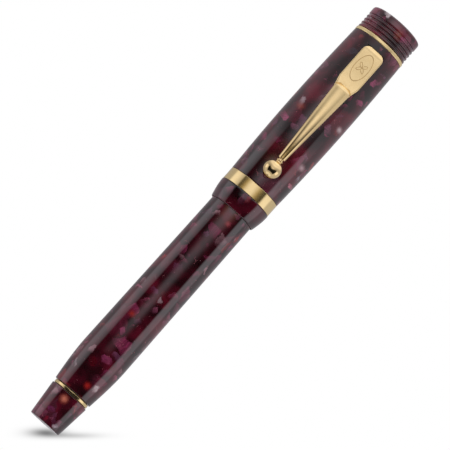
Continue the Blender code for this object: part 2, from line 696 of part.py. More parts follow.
def clip_ring(z, half, back, thickness, roundness, across=12):
    """Section of the clip: a flat back, and a front (-Y) that goes from nearly
    square (roundness 0) to half round (roundness 1)."""
    side = blend(min(0.45, thickness * 0.45), 0.12, roundness)
    power = blend(0.22, 1.0, roundness)
    ring = []
    for i in range(across + 1):
        angle = math.pi * i / across
        cosine, sine = math.cos(angle), math.sin(angle)
        x = math.copysign(abs(cosine) ** power, cosine) * half
        ring.append((x, -(back + side + (thickness - side) * abs(sine) ** power), z))
    return ring + [(-half * 0.94, -back, z), (half * 0.94, -back, z)]


def clip(gold, flex_axis):
    """Flat plate at the top, passing into a half-round taper; a tang enters the cap."""
    rings = []
    for z, half, thickness in CLIP_PLATE:
        back = CLIP_BACK_TOP + CLIP_RISE * smooth((CLIP_TOP_Z - z) / 12.0)
        rings.append(clip_ring(z, half, back, thickness, 0.0))
    for z in (117.6, 116.6, CLIP_CONE_Z):
        part = smooth((CLIP_PLATE_END_Z - z) / (CLIP_PLATE_END_Z - CLIP_CONE_Z))
        rings.append(clip_ring(z, blend(CLIP_HALF_W, CLIP_CONE_HALF_W, part), CLIP_BACK_CONE,
                               blend(CLIP_PLATE_T, CLIP_CONE_T, part), part))
    for z in steps(CLIP_CONE_Z, CLIP_NECK_Z, 5)[1:]:
        part = (CLIP_CONE_Z - z) / (CLIP_CONE_Z - CLIP_NECK_Z)
        rings.append(clip_ring(z, blend(CLIP_CONE_HALF_W, CLIP_NECK_HALF_W, part),
                               blend(CLIP_BACK_CONE, CLIP_BACK_NECK, part),
                               blend(CLIP_CONE_T, 2 * CLIP_NECK_HALF_W, part), 1.0))
    arm = skinned("clip", rings, gold, capped=True, parent=flex_axis, origin=CLIP_PIVOT)
    boolean(arm, box("clip_tang_tool", TANG_LOW, TANG_HIGH, gold), "UNION")


def clip_ball(gold, flex_axis):
    """Ball under the clip's lower end, with a short neck."""
    neck_top = CLIP_NECK_Z - 0.06
    start = math.acos(BALL_NECK_R / BALL_R)
    outline = [(0, neck_top), (BALL_NECK_R, neck_top)]
    outline += [(BALL_R * math.cos(angle), BALL_Z + BALL_R * math.sin(angle))
                for angle in steps(start, -math.pi / 2, BALL_STEPS)[:-1]]
    outline.append((0, BALL_Z - BALL_R))
    shape = spun(outline, 16)
    bmesh.ops.translate(shape, verts=shape.verts, vec=(0, BALL_Y * MM, 0))
    finish("clip_ball", shape, gold, parent=flex_axis, origin=CLIP_PIVOT)


# ---------------------------------------------------------------- assembly
def material(name, colour, roughness, metallic=0.0, coat=0.0):
    mat = bpy.data.materials.new(name)
    mat.use_nodes = True
    shader = mat.node_tree.nodes["Principled BSDF"]
    shader.inputs["Base Color"].default_value = (*colour, 1.0)
    shader.inputs["Roughness"].default_value = roughness
    shader.inputs["Metallic"].default_value = metallic
    shader.inputs["Coat Weight"].default_value = coat
    mat.diffuse_color = (*colour, 1.0)
    return mat


def clear_scene():
    for obj in list(bpy.data.objects):
        bpy.data.objects.remove(obj, do_unlink=True)


def build():
    clear_scene()

    resin = material("marbled_resin", colour=(0.085, 0.006, 0.022), roughness=0.12, coat=0.6)
    gold = material("gold_plate", colour=(0.86, 0.66, 0.34), roughness=0.12, metallic=1.0)
    brass = material("brass", colour=(0.72, 0.52, 0.22), roughness=0.30, metallic=1.0)
    black = material("black_plastic", colour=(0.012, 0.012, 0.013), roughness=0.35)
    rubber = material("seal_rubber", colour=(0.02, 0.02, 0.022), roughness=0.6)
    ptfe = material("white_ptfe", colour=(0.80, 0.79, 0.76), roughness=0.45)
    steel = material("tipping_alloy", colour=(0.75, 0.76, 0.78), roughness=0.15, metallic=1.0)
    clear = material("liner_plastic", colour=(0.05, 0.04, 0.045), roughness=0.30)

    pull_axis = axis_empty("cap_pull_axis", (0, 0, INNER_Z0))
    turn_axis = axis_empty("cap_turn_axis", (0, 0, LIP_Z0))
    knob_axis = axis_empty("knob_turn_axis", (0, 0, 0))
    slide_axis = axis_empty("piston_slide_axis", (0, 0, ROD_Z0))
    flex_axis = axis_empty("clip_flex_axis", CLIP_PIVOT)

    piston_knob(resin, knob_axis)
    piston_spindle(brass, knob_axis)
    tail_ring(gold)
    spindle_retainer(brass)
    spindle_oring(rubber)
    guide_sleeve(brass)

    piston_rod(black, slide_axis)
    piston_head(ptfe, slide_axis)
    piston_seals(rubber, slide_axis)

    barrel(resin)
    section(resin)
    section_rings(gold)
    section_oring(rubber)

    nib_housing(black)
    nib(gold, black)
    nib_tips(steel)
    feed(black)

    inner_cap(clear, pull_axis)
    cap_lip(resin, turn_axis)
    cap_band(gold, turn_axis)
    cap_shell(resin, turn_axis)
    crown_ring(gold, turn_axis)
    cap_crown(resin, turn_axis)
    crown_stud(brass, turn_axis)
    clip_washer(brass, turn_axis)

    clip(gold, flex_axis)
    clip_ball(gold, flex_axis)


build()
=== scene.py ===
"""Looks for the fountain pen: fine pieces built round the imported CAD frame.

Everything is in the row frame, in metres; the numbers below are millimetres and
are scaled by MM. Tail face at z = 0, crown at z = 140, clip facing -Y.
"""
import json
import math

import bmesh
import bpy
from mathutils import Matrix, Vector

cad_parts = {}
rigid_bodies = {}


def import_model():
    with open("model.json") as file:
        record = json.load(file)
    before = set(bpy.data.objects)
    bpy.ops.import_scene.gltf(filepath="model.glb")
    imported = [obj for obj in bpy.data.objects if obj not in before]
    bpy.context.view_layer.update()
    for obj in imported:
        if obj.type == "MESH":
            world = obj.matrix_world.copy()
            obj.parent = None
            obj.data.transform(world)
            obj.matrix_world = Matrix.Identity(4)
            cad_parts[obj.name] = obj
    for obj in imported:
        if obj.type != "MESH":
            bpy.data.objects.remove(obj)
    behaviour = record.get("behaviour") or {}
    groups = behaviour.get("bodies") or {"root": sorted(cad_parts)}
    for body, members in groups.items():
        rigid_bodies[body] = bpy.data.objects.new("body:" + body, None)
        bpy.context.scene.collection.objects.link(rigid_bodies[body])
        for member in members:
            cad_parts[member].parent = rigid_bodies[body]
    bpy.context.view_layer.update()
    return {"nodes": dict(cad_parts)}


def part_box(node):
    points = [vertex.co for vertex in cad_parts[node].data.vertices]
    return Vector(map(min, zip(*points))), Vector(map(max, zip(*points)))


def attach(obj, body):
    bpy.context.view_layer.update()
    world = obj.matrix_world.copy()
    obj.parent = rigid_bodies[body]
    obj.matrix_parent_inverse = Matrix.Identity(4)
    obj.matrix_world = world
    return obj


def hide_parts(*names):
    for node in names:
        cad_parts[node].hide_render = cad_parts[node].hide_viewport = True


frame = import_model()
MM = 0.001
TAU = 2 * math.pi
SCENE = bpy.context.scene
for leftover in [o for o in bpy.data.objects if o.type in ("LIGHT", "CAMERA") or o.name == "Cube"]:
    bpy.data.objects.remove(leftover, do_unlink=True)


def top_of(node):
    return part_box(node)[1].z / MM


def foot_of(node):
    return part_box(node)[0].z / MM


# --------------------------------------------------------------- node helpers
class Graph:
    """A small writer for shader node trees."""

    def __init__(self, tree):
        self.t = tree
        tree.nodes.clear()

    def node(self, kind, **props):
        n = self.t.nodes.new(kind)
        for key, value in props.items():
            setattr(n, key, value)
        return n

    def put(self, socket, value):
        if isinstance(value, bpy.types.NodeSocket):
            self.t.links.new(value, socket)
        elif value is not None:
            socket.default_value = value

    def math(self, op, a, b=None, c=None, clamp=False):
        n = self.node("ShaderNodeMath", operation=op, use_clamp=clamp)
        for i, v in enumerate((a, b, c)):
            self.put(n.inputs[i], v)
        return n.outputs[0]

    def vmath(self, op, a, b=None, scale=None):
        n = self.node("ShaderNodeVectorMath", operation=op)
        self.put(n.inputs[0], a)
        if b is not None:
            self.put(n.inputs[1], b)
        if scale is not None:
            self.put(n.inputs["Scale"], scale)
        return n.outputs["Value"] if op in ("DOT_PRODUCT", "LENGTH") else n.outputs[0]

    def ease(self, value, low, high, a=0.0, b=1.0):
        n = self.node("ShaderNodeMapRange", interpolation_type="SMOOTHSTEP")
        for i, v in enumerate((value, low, high, a, b)):
            self.put(n.inputs[i], v)
        return n.outputs[0]

    def mix(self, factor, a, b, blend="MIX"):
        n = self.node("ShaderNodeMix", data_type="RGBA", blend_type=blend)
        self.put(n.inputs[0], factor)
        for i, v in ((6, a), (7, b)):
            if isinstance(v, tuple) and len(v) == 3:
                v = (*v, 1.0)
            self.put(n.inputs[i], v)
        return n.outputs[2]

    def ramp(self, value, stops, interpolation="LINEAR"):
        n = self.node("ShaderNodeValToRGB")
        self.put(n.inputs[0], value)
        ramp = n.color_ramp
        ramp.interpolation = interpolation
        while len(ramp.elements) < len(stops):
            ramp.elements.new(0.5)
        for element, (at, colour) in zip(ramp.elements, stops):
            element.position = at
            element.color = (*colour, 1.0)
        return n.outputs[0]

    def noise(self, vector, scale, detail=3.0, rough=0.5, colour=False, distortion=0.0):
        n = self.node("ShaderNodeTexNoise")
        self.put(n.inputs["Vector"], vector)
        n.inputs["Scale"].default_value = scale
        n.inputs["Detail"].default_value = detail
        n.inputs["Roughness"].default_value = rough
        n.inputs["Distortion"].default_value = distortion
        return n.outputs["Color" if colour else "Fac"]

    def voronoi(self, vector, scale, feature="F1", randomness=1.0):
        n = self.node("ShaderNodeTexVoronoi", feature=feature)
        self.put(n.inputs["Vector"], vector)
        n.inputs["Scale"].default_value = scale
        n.inputs["Randomness"].default_value = randomness
        return n

    def split(self, colour):
        n = self.node("ShaderNodeSeparateColor")
        self.put(n.inputs[0], colour)
        return n.outputs

    def bump(self, height, strength, distance):
        n = self.node("ShaderNodeBump")
        self.put(n.inputs["Height"], height)
        n.inputs["Strength"].default_value = strength
        n.inputs["Distance"].default_value = distance
        return n.outputs[0]


def start_material(name):
    mat = bpy.data.materials.new(name)
    mat.use_nodes = True
    g = Graph(mat.node_tree)
    out = g.node("ShaderNodeOutputMaterial")
    shader = g.node("ShaderNodeBsdfPrincipled")
    g.t.links.new(shader.outputs[0], out.inputs[0])
    coords = g.node("ShaderNodeTexCoord").outputs["Object"]
    mm = g.vmath("SCALE", coords, scale=1000.0)
    return mat, g, shader, mm


def paint(g, shader, colour=None, roughness=None, metallic=None, normal=None, **more):
    names = {"colour": "Base Color", "roughness": "Roughness", "metallic": "Metallic",
             "normal": "Normal"}
    for key, value in (("colour", colour), ("roughness", roughness), ("metallic", metallic),
                       ("normal", normal)):
        if value is not None:
            if isinstance(value, tuple) and len(value) == 3:
                value = (*value, 1.0)
            g.put(shader.inputs[names[key]], value)
    for key, value in more.items():
        g.put(shader.inputs[key.replace("_", " ")], value)


# --------------------------------------------------------------- materials
# The clip plate's plain engraving: an oval rule with a four-petalled rosette in
# it, as (centre x, centre z, half x, half z, turn, half line width) in mm.
ORNAMENT_Z = 123.6
ORNAMENT = [(0.0, 0.0, 2.05, 4.1, 0.0, 0.13)]
ORNAMENT += [(0.85 * math.cos(math.pi / 4 * k), 0.85 * math.sin(math.pi / 4 * k), 0.72, 0.34,
              math.pi / 4 * k, 0.11) for k in (1, 3, 5, 7)]


def resin(name, shift, glow=1.0, density=1.0, depth=1.0, hairs=0.5, marks=()):
    """Marbled resin: shards of magenta and plum lie at several depths in a dark
    wine body, each bright along one side and fading to the other, with a few
    warm glowing spots, pearly flakes, hairlines and specks. density scales how
    many shards there are, depth how bright the body is. marks are single large
    shards and spots on the clip's side, as (x, z, half size, colour, softness)."""
    mat, g, shader, mm = start_material(name)
    p = g.vmath("ADD", mm, shift)
    warp = g.vmath("SUBTRACT", g.noise(p, 0.32, 2, 0.5, colour=True), (0.5, 0.5, 0.5))
    soft = g.vmath("ADD", p, g.vmath("SCALE", warp, scale=1.9))
    warp2 = g.vmath("SUBTRACT", g.noise(p, 1.7, 3, 0.6, colour=True), (0.5, 0.5, 0.5))
    jagged = g.vmath("SCALE", warp2, scale=0.55)
    rough = g.vmath("ADD", soft, jagged)

    col = g.ramp(g.noise(soft, 0.15, 2, 0.45), [
        (at, tuple(c * depth for c in tone)) for at, tone in (
            (0.34, (0.0070, 0.0011, 0.0018)), (0.46, (0.0190, 0.0014, 0.0034)),
            (0.56, (0.0420, 0.0019, 0.0066)), (0.70, (0.0800, 0.0034, 0.0115)))])

    def shards(base, scale, offset, chance, palette, stretch, reach, strength):
        """One depth of shards, laid over base."""
        at = g.vmath("MULTIPLY", g.vmath("ADD", rough, offset), stretch)
        cells = g.voronoi(at, scale)
        edge = g.voronoi(at, scale, "DISTANCE_TO_EDGE").outputs["Distance"]
        dice = cells.outputs["Color"]
        r, gg, b = g.split(dice)[:3]
        way = g.vmath("NORMALIZE", g.vmath("SUBTRACT", dice, (0.5, 0.5, 0.5)))
        local = g.vmath("SUBTRACT", at, cells.outputs["Position"])
        across = g.math("MULTIPLY", g.vmath("DOT_PRODUCT", local, way), scale)
        # fine pearl that lies along the shard
        cross = g.vmath("CROSS_PRODUCT", way, (0.31, 0.52, 0.79))
        lie = g.math("MULTIPLY", g.vmath("DOT_PRODUCT", local, cross), 2.6)
        vein = g.node("ShaderNodeCombineXYZ")
        g.put(vein.inputs[0], lie)
        g.put(vein.inputs[1], g.math("MULTIPLY", across, 0.9))
        g.put(vein.inputs[2], g.math("MULTIPLY", r, 40.0))
        pearl = g.ease(g.noise(vein.outputs[0], 1.0, 3, 0.55), 0.34, 0.70, 0.62, 1.12)
        fade = g.ease(across, -reach, 0.34, 0.0, 1.0)
        chance *= density
        pick = g.ease(b, 1 - chance - 0.01, 1 - chance + 0.01)
        cover = g.math("MULTIPLY", g.math("MULTIPLY", pick, fade), g.ease(edge, 0.0, 0.09))
        cover = g.math("MULTIPLY", cover, g.ease(r, 0.0, 1.0, strength * 0.55, strength))
        shade = g.vmath("SCALE", g.ramp(gg, palette, "CONSTANT"), scale=pearl)
        return g.mix(cover, base, shade), cover

    plum = [(0.0, (0.092, 0.010, 0.024)), (0.22, (0.064, 0.014, 0.026)),
            (0.42, (0.120, 0.014, 0.034)), (0.64, (0.074, 0.003, 0.009)),
            (0.84, (0.100, 0.036, 0.054))]
    magenta = [(0.0, (0.205, 0.024, 0.072)), (0.26, (0.200, 0.046, 0.090)),
               (0.46, (0.125, 0.034, 0.076)), (0.62, (0.260, 0.050, 0.100)),
               (0.82, (0.290, 0.140, 0.170)), (0.92, (0.260, 0.020, 0.026))]
    pearls = [(0.0, (0.42, 0.30, 0.34)), (0.4, (0.34, 0.30, 0.36)), (0.7, (0.50, 0.30, 0.32))]
    col, _ = shards(col, 0.18, (3.1, 7.7, 1.9), 0.46, plum, (1, 1, 0.85), 0.50, 0.80)
    col, _ = shards(col, 0.30, (11.3, 2.7, 5.1), 0.30, magenta, (1, 1, 0.80), 0.40, 0.80)
    col, _ = shards(col, 0.46, (5.7, 1.3, 9.9), 0.22, magenta, (1, 1, 1), 0.30, 0.85)

    # warm spots, lit from inside the resin
    spots = g.voronoi(g.vmath("ADD", soft, (31.0, 17.0, 23.0)), 0.115)
    sr = g.split(spots.outputs["Color"])[0]
    spot = g.math("MULTIPLY", g.ease(spots.outputs["Distance"], 0.30, 0.02),
                  g.ease(sr, 0.70, 0.76))
    spot_colour = g.ramp(spot, [(0.0, (0.12, 0.003, 0.006)), (0.5, (0.22, 0.010, 0.010)),
                                (0.85, (0.30, 0.060, 0.032)), (1.0, (0.40, 0.17, 0.10))])
    col = g.mix(g.ease(spot, 0.0, 0.8, 0.0, 0.85 * glow), col, spot_colour)

    # pearly flakes, sparse and pale, sharp on one side
    col, flake = shards(col, 0.42, (47.0, 5.0, 71.0), 0.045, pearls, (1, 1, 0.6), 0.15, 0.85)

    near = g.node("ShaderNodeSeparateXYZ")
    g.put(near.inputs[0], g.vmath("ADD", mm, jagged))
    facing = g.ease(near.outputs[1], -1.0, -3.0)
    grain = g.ease(g.noise(g.vmath("MULTIPLY", p, (1.0, 1.0, 2.2)), 1.3, 3, 0.6), 0.3, 0.7,
                   0.60, 1.15)
    for k, (x, z, size, tone, softness) in enumerate(marks):
        dx = g.math("SUBTRACT", near.outputs[0], x)
        dz = g.math("SUBTRACT", near.outputs[2], z)
        if softness > 0.5:
            away = g.math("SQRT", g.math("ADD", g.math("MULTIPLY", dx, dx),
                                         g.math("MULTIPLY", dz, dz)))
            away = g.math("DIVIDE", away, size)
        else:
            away = None
            for j, part in enumerate((1.0, 0.72, 1.2)):
                angle = 0.7 * k + 1.1 * j
                far = g.math("ADD", g.math("MULTIPLY", dx, math.cos(angle) / (size * part)),
                             g.math("MULTIPLY", dz, math.sin(angle) / (size * part)))
                far = g.math("ABSOLUTE", far)
                away = far if away is None else g.math("MAXIMUM", away, far)
        cover = g.math("MULTIPLY", g.ease(away, 1.0, 1.0 - softness), facing)
        if softness <= 0.5:
            lean = g.math("ADD", g.math("MULTIPLY", dx, math.cos(2.3 * k) / size),
                          g.math("MULTIPLY", dz, math.sin(2.3 * k) / size))
            cover = g.math("MULTIPLY", cover, g.ease(lean, -0.9, 0.5, 0.25, 1.0))
        if softness <= 0.5:
            col = g.mix(g.math("MULTIPLY", cover, 0.92), col, g.vmath("SCALE", tone, scale=grain))
        else:
            rim = (tone[0] * 0.45, tone[1] * 0.12, tone[2] * 0.16)
            col = g.mix(g.math("MULTIPLY", cover, 0.90), col, g.mix(cover, rim, tone))

    # hairlines along the edges of small shards, and specks
    hair = g.voronoi(g.vmath("ADD", rough, (2.0, 41.0, 13.0)), 0.50, "DISTANCE_TO_EDGE")
    hair_on = g.ease(g.noise(p, 0.50, 3, 0.6), 0.60, 0.68)
    line = g.math("MULTIPLY", g.ease(hair.outputs["Distance"], 0.022, 0.004), hair_on)
    col = g.mix(g.math("MULTIPLY", line, hairs), col, (0.46, 0.14, 0.17))
    speck = g.voronoi(p, 1.0)
    kr = g.split(speck.outputs["Color"])[0]
    dot = g.math("MULTIPLY", g.ease(speck.outputs["Distance"], 0.09, 0.04),
                 g.ease(kr, 0.92, 0.94))
    col = g.mix(g.math("MULTIPLY", dot, 0.55), col, (0.50, 0.30, 0.34))

    wear = g.noise(mm, 2.0, 3, 0.6)
    rough_value = g.math("ADD", g.ease(wear, 0.35, 0.75, 0.045, 0.075),
                         g.math("MULTIPLY", flake, 0.04))
    paint(g, shader, colour=col, roughness=rough_value, IOR=1.80,
          normal=g.bump(g.noise(mm, 0.6, 1, 0.5), 0.004, 0.0002))
    return mat


def ornament(g, mm):
    """1 on the lines of the clip plate's engraving, 0 off them."""
    part = g.node("ShaderNodeSeparateXYZ")
    g.put(part.inputs[0], mm)
    x, z = part.outputs[0], g.math("SUBTRACT", part.outputs[2], ORNAMENT_Z)
    found = None
    for cx, cz, half_x, half_z, angle, width in ORNAMENT:
        ca, sa = math.cos(angle), math.sin(angle)
        dx, dz = g.math("SUBTRACT", x, cx), g.math("SUBTRACT", z, cz)
        u = g.math("ADD", g.math("MULTIPLY", dx, ca / half_x), g.math("MULTIPLY", dz, sa / half_x))
        v = g.math("ADD", g.math("MULTIPLY", dx, -sa / half_z), g.math("MULTIPLY", dz, ca / half_z))
        rad = g.math("SQRT", g.math("ADD", g.math("MULTIPLY", u, u), g.math("MULTIPLY", v, v)))
        a, b = g.math("DIVIDE", u, half_x), g.math("DIVIDE", v, half_z)
        slope = g.math("SQRT", g.math("ADD", g.math("MULTIPLY", a, a), g.math("MULTIPLY", b, b)))
        slope = g.math("DIVIDE", slope, g.math("ADD", rad, 0.001))
        off = g.math("DIVIDE", g.math("ABSOLUTE", g.math("SUBTRACT", rad, 1.0)),
                     g.math("ADD", slope, 0.001))
        line = g.ease(off, width, 0.25 * width)
        found = line if found is None else g.math("MAXIMUM", found, line)
    return found


def gold(name, tone=(0.955, 0.748, 0.386), rough=0.10, satin=0.0, satin_from=None,
         engraved=False):
    """Gold plating. satin is the share that scatters; satin_from gives the two
    heights in millimetres between which it comes in. engraved paints the lines
    of the plate's engraving dark brown: painted shade in the grooves."""
    mat, g, shader, mm = start_material(name)
    cloud = g.noise(mm, 0.7, 2, 0.5)
    fine = g.noise(g.vmath("MULTIPLY", mm, (7.0, 7.0, 22.0)), 1.0, 3, 0.6)
    deep = tuple(c * k for c, k in zip(tone, (0.97, 0.955, 0.93)))
    colour = g.mix(g.ease(cloud, 0.3, 0.7), tone, deep)
    # painted shade: the engraving's lines are darkened to dark brown, standing in for the shade in the
    # grooves
    if engraved:
        colour = g.mix(g.math("MULTIPLY", ornament(g, mm), 0.75), colour, (0.42, 0.235, 0.07))
    value = g.math("ADD", g.ease(fine, 0.25, 0.8, rough * 0.85, rough * 1.2),
                   g.ease(cloud, 0.4, 0.8, 0.0, 0.015))
    share = satin
    if satin_from is not None:
        z = g.node("ShaderNodeSeparateXYZ")
        g.put(z.inputs[0], mm)
        above = g.ease(z.outputs[2], *satin_from)
        share = g.math("MULTIPLY", above, satin)
        value = g.math("ADD", value, g.math("MULTIPLY", above, 0.06))
        share = g.math("SUBTRACT", 1.0, share)
    else:
        share = 1.0 - satin
    paint(g, shader, colour=colour, roughness=value, metallic=share)
    return mat


def turned_brass(name, tone=(0.62, 0.44, 0.17)):
    mat, g, shader, mm = start_material(name)
    rings = g.noise(g.vmath("MULTIPLY", mm, (0.4, 0.4, 26.0)), 1.0, 3, 0.6)
    stain = g.noise(mm, 0.5, 4, 0.6)
    colour = g.mix(g.ease(stain, 0.35, 0.75), tone, tuple(c * 0.72 for c in tone))
    paint(g, shader, colour=colour, metallic=1.0, roughness=g.ease(rings, 0.2, 0.8, 0.20, 0.42),
          normal=g.bump(rings, 0.25, 0.00003))
    return mat


def plastic(name, colour, low, high, grain=6.0, bumpiness=0.08):
    mat, g, shader, mm = start_material(name)
    n = g.noise(mm, grain, 4, 0.6)
    big = g.noise(mm, 0.35, 2, 0.5)
    tint = g.mix(g.ease(big, 0.3, 0.7), colour, tuple(min(1.0, c * 1.35 + 0.002) for c in colour))
    paint(g, shader, colour=tint, roughness=g.ease(n, 0.25, 0.75, low, high),
          normal=g.bump(n, bumpiness, 0.00004))
    return mat


PINK, MAUVE, WINE = (0.26, 0.040, 0.105), (0.15, 0.045, 0.080), (0.060, 0.0012, 0.0050)
PALE = (0.42, 0.32, 0.34)
BARREL_MARKS = [(-1.9, 20.2, 1.5, WINE, 0.3), (0.9, 22.6, 1.6, (0.17, 0.024, 0.068), 0.3),
                (1.5, 14.4, 1.6, (0.30, 0.014, 0.012), 1.0), (3.7, 15.2, 1.1, PALE, 0.5),
                (-1.1, 31.0, 1.0, PINK, 0.3), (-2.2, 36.0, 1.6, (0.24, 0.018, 0.012), 1.0),
                (1.0, 70.0, 1.3, (0.24, 0.036, 0.048), 1.0)]
CAP_MARKS = [(-6.7, 101.4, 1.3, PINK, 0.3), (-2.8, 100.6, 1.3, MAUVE, 0.4),
             (-3.8, 95.4, 1.2, (0.11, 0.010, 0.032), 0.3), (-5.3, 106.0, 1.9, (0.20, 0.034, 0.026), 1.0),
             (4.2, 105.8, 1.5, MAUVE, 0.3), (6.6, 108.2, 1.5, PALE, 1.0),
             (5.8, 117.0, 1.1, PINK, 0.3), (5.3, 123.4, 1.2, PINK, 0.3),
             (5.8, 94.0, 1.6, (0.38, 0.24, 0.27), 1.0), (4.8, 96.6, 0.8, MAUVE, 0.4),
             (6.9, 88.6, 0.9, (0.40, 0.12, 0.17), 0.4), (-4.8, 125.8, 1.4, (0.035, 0.022, 0.034), 0.4)]
CROWN_MARKS = [(-4.2, 139.5, 1.1, (0.55, 0.46, 0.48), 0.5), (3.6, 137.0, 1.1, PINK, 0.3)]
KNOB_MARKS = [(-0.7, 7.9, 1.9, (0.50, 0.15, 0.10), 1.0), (-1.4, 3.8, 1.1, (0.12, 0.018, 0.060), 0.3),
              (2.3, 1.2, 0.9, (0.30, 0.22, 0.26), 0.5), (-0.9, 1.0, 0.9, (0.13, 0.006, 0.018), 0.4)]

MAT = {
    "barrel": resin("resin_barrel", (0.0, 0.0, 0.0), 1.0, 0.76, marks=BARREL_MARKS),
    "cap": resin("resin_cap", (37.0, 11.0, 5.0), 0.7, 0.60, 1.20, marks=CAP_MARKS),
    "lip": resin("resin_lip", (9.0, 63.0, 21.0), 1.0, 0.50, 0.70),
    "crown": resin("resin_crown", (71.0, 29.0, 44.0), 0.45, 0.90, 2.3, 0.10, CROWN_MARKS),
    "knob": resin("resin_knob", (15.0, 5.0, 93.0), 1.0, 0.80, 1.3, marks=KNOB_MARKS),
    "grip": resin("resin_grip", (52.0, 8.0, 33.0)),
    "gold": gold("gold_polished", satin=0.038),
    "tail": gold("gold_tail", rough=0.17),
    "satin": gold("gold_satin", rough=0.16, satin=0.28),
    "clip": gold("gold_clip", (0.955, 0.725, 0.374), rough=0.08, satin=0.34,
                 satin_from=(100.0, 111.0), engraved=True),
    "nib": gold("gold_nib", tone=(0.84, 0.60, 0.27), rough=0.12),
    "brass": turned_brass("brass_turned"),
    "tip": gold("tip_alloy", tone=(0.66, 0.67, 0.69), rough=0.16),
    "feed": plastic("feed_black", (0.010, 0.010, 0.011), 0.32, 0.48),
    "black": plastic("drive_black", (0.014, 0.013, 0.013), 0.35, 0.50),
    "rubber": plastic("seal_black", (0.018, 0.018, 0.019), 0.55, 0.75, 9.0, 0.2),
    "ptfe": plastic("slide_white", (0.74, 0.73, 0.69), 0.35, 0.5),
    "liner": plastic("liner_dark", (0.020, 0.010, 0.013), 0.14, 0.24, 4.0, 0.03),
}


# --------------------------------------------------------------- mesh helpers
def make(name, verts, faces, mat, sharp=32):
    mesh = bpy.data.meshes.new(name)
    mesh.from_pydata([tuple(c * MM for c in v) for v in verts], [], faces)
    bm = bmesh.new()
    bm.from_mesh(mesh)
    bmesh.ops.remove_doubles(bm, verts=bm.verts, dist=1e-8)
    bmesh.ops.recalc_face_normals(bm, faces=bm.faces)
    bm.to_mesh(mesh)
    bm.free()
    mesh.materials.append(mat)
    mesh.shade_smooth()
    mesh.set_sharp_from_angle(angle=math.radians(sharp))
    obj = bpy.data.objects.new(name, mesh)
    SCENE.collection.objects.link(obj)
    return obj


def fillet(outline, closed, steps=4):
    """Corners given as (r, z, fillet) become arcs; plain points stay."""
    out = []
    n = len(outline)
    for i, point in enumerate(outline):
        if len(point) < 3 or point[2] <= 0 or (not closed and i in (0, n - 1)):
            out.append((point[0], point[1]))
            continue
        here = Vector(point[:2])
        before, after = Vector(outline[i - 1][:2]), Vector(outline[(i + 1) % n][:2])
        u, v = (before - here), (after - here)
        cut = min(point[2], u.length * 0.49, v.length * 0.49)
        a, b = here + u.normalized() * cut, here + v.normalized() * cut
        for k in range(steps + 1):
            t = k / steps
            q = a * (1 - t) ** 2 + here * 2 * t * (1 - t) + b * t * t
            out.append((q.x, q.y))
    return out


def ring(r, z, n):
    return [(r * math.cos(TAU * i / n), r * math.sin(TAU * i / n), z) for i in range(n)]


def skin(name, rings, mat, closed=True, caps=False, sharp=32):
    """Faces between rings of equal length; a ring of one point is a pole."""
    verts, at = [], []
    for r in rings:
        at.append(range(len(verts), len(verts) + len(r)))
        verts += r
    faces = []
    pairs = list(zip(at, at[1:]))
    if closed:
        pairs.append((at[-1], at[0]))
    for low, high in pairs:
        n = max(len(low), len(high))
        for i in range(n):
            j = (i + 1) % n
            if len(low) == 1 and len(high) == 1:
                continue
            if len(low) == 1:
                faces.append((low[0], high[j], high[i]))
            elif len(high) == 1:
                faces.append((low[i], low[j], high[0]))
            else:
                faces.append((low[i], low[j], high[j], high[i]))
    if caps:
        faces += [tuple(at[0]), tuple(at[-1])]
    return make(name, verts, faces, mat, sharp)


def support(points, closed):
    """Extra points near the ends of long straight runs keep their normals true."""
    out = []
    n = len(points)
    for i, (r, z) in enumerate(points):
        out.append((r, z))
        if i == n - 1 and not closed:
            break
        r2, z2 = points[(i + 1) % n]
        run = math.hypot(r2 - r, z2 - z)
        if run > 0.5 and r > 0 and r2 > 0:
            k = 0.05 / run
            out += [(r + (r2 - r) * k, z + (z2 - z) * k), (r2 - (r2 - r) * k, z2 - (z2 - z) * k)]
    return out


def turn(name, outline, mat, seg=160, closed=True, sharp=32, steps=4):
    points = support(fillet(outline, closed, steps), closed)
    rings = [[(0.0, 0.0, z)] if r <= 0 else ring(r, z, seg) for r, z in points]
    return skin(name, rings, mat, closed=closed, sharp=sharp)


def cut(obj, other, operation="DIFFERENCE"):
    """Boolean, applied at once; the tool is removed."""
    mod = obj.modifiers.new("cut", "BOOLEAN")
    mod.operation, mod.solver, mod.object = operation, "EXACT", other
    graph = bpy.context.evaluated_depsgraph_get()
    mesh = bpy.data.meshes.new_from_object(obj.evaluated_get(graph))
    obj.modifiers.remove(mod)
    obj.data = mesh
    mesh.shade_smooth()
    mesh.set_sharp_from_angle(angle=math.radians(32))
    bpy.data.objects.remove(other, do_unlink=True)
    return obj


def block(low, high, mat):
    x0, y0, z0 = low
    x1, y1, z1 = high
    verts = [(x, y, z) for z in (z0, z1) for x, y in ((x0, y0), (x1, y0), (x1, y1), (x0, y1))]
    faces = [(0, 1, 2, 3), (4, 5, 6, 7), (0, 1, 5, 4), (1, 2, 6, 5), (2, 3, 7, 6), (3, 0, 4, 7)]
    return make("tool", verts, faces, mat)


def spread(a, b, n):
    return [a + (b - a) * i / n for i in range(n + 1)]


def smooth(u):
    u = min(1.0, max(0.0, u))
    return u * u * (3 - 2 * u)


def place(obj, body, slot, *nodes):
    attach(obj, body)
    if nodes:
        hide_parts(*nodes)
    return obj


ROOT, KNOB, PISTON = "barrel_assembly", "knob_assembly", "piston_assembly"
LINER, CAP, CLIP = "liner", "cap_assembly", "clip_assembly"


# --------------------------------------------------------------- outlines
BARREL_Z0 = foot_of("barrel")
BARREL_Z1 = top_of("barrel")


def barrel_radius(z):
    if z < 23.85:
        u = (z - BARREL_Z0) / (23.85 - BARREL_Z0)
        return 5.85 + 1.0 * math.sin(math.pi / 2 * u)
    u = (z - 23.85) / (72.0 - 23.85)
    return 6.85 - 0.34 * u


CAP_Z0, CAP_Z1 = foot_of("cap_shell"), top_of("cap_shell")


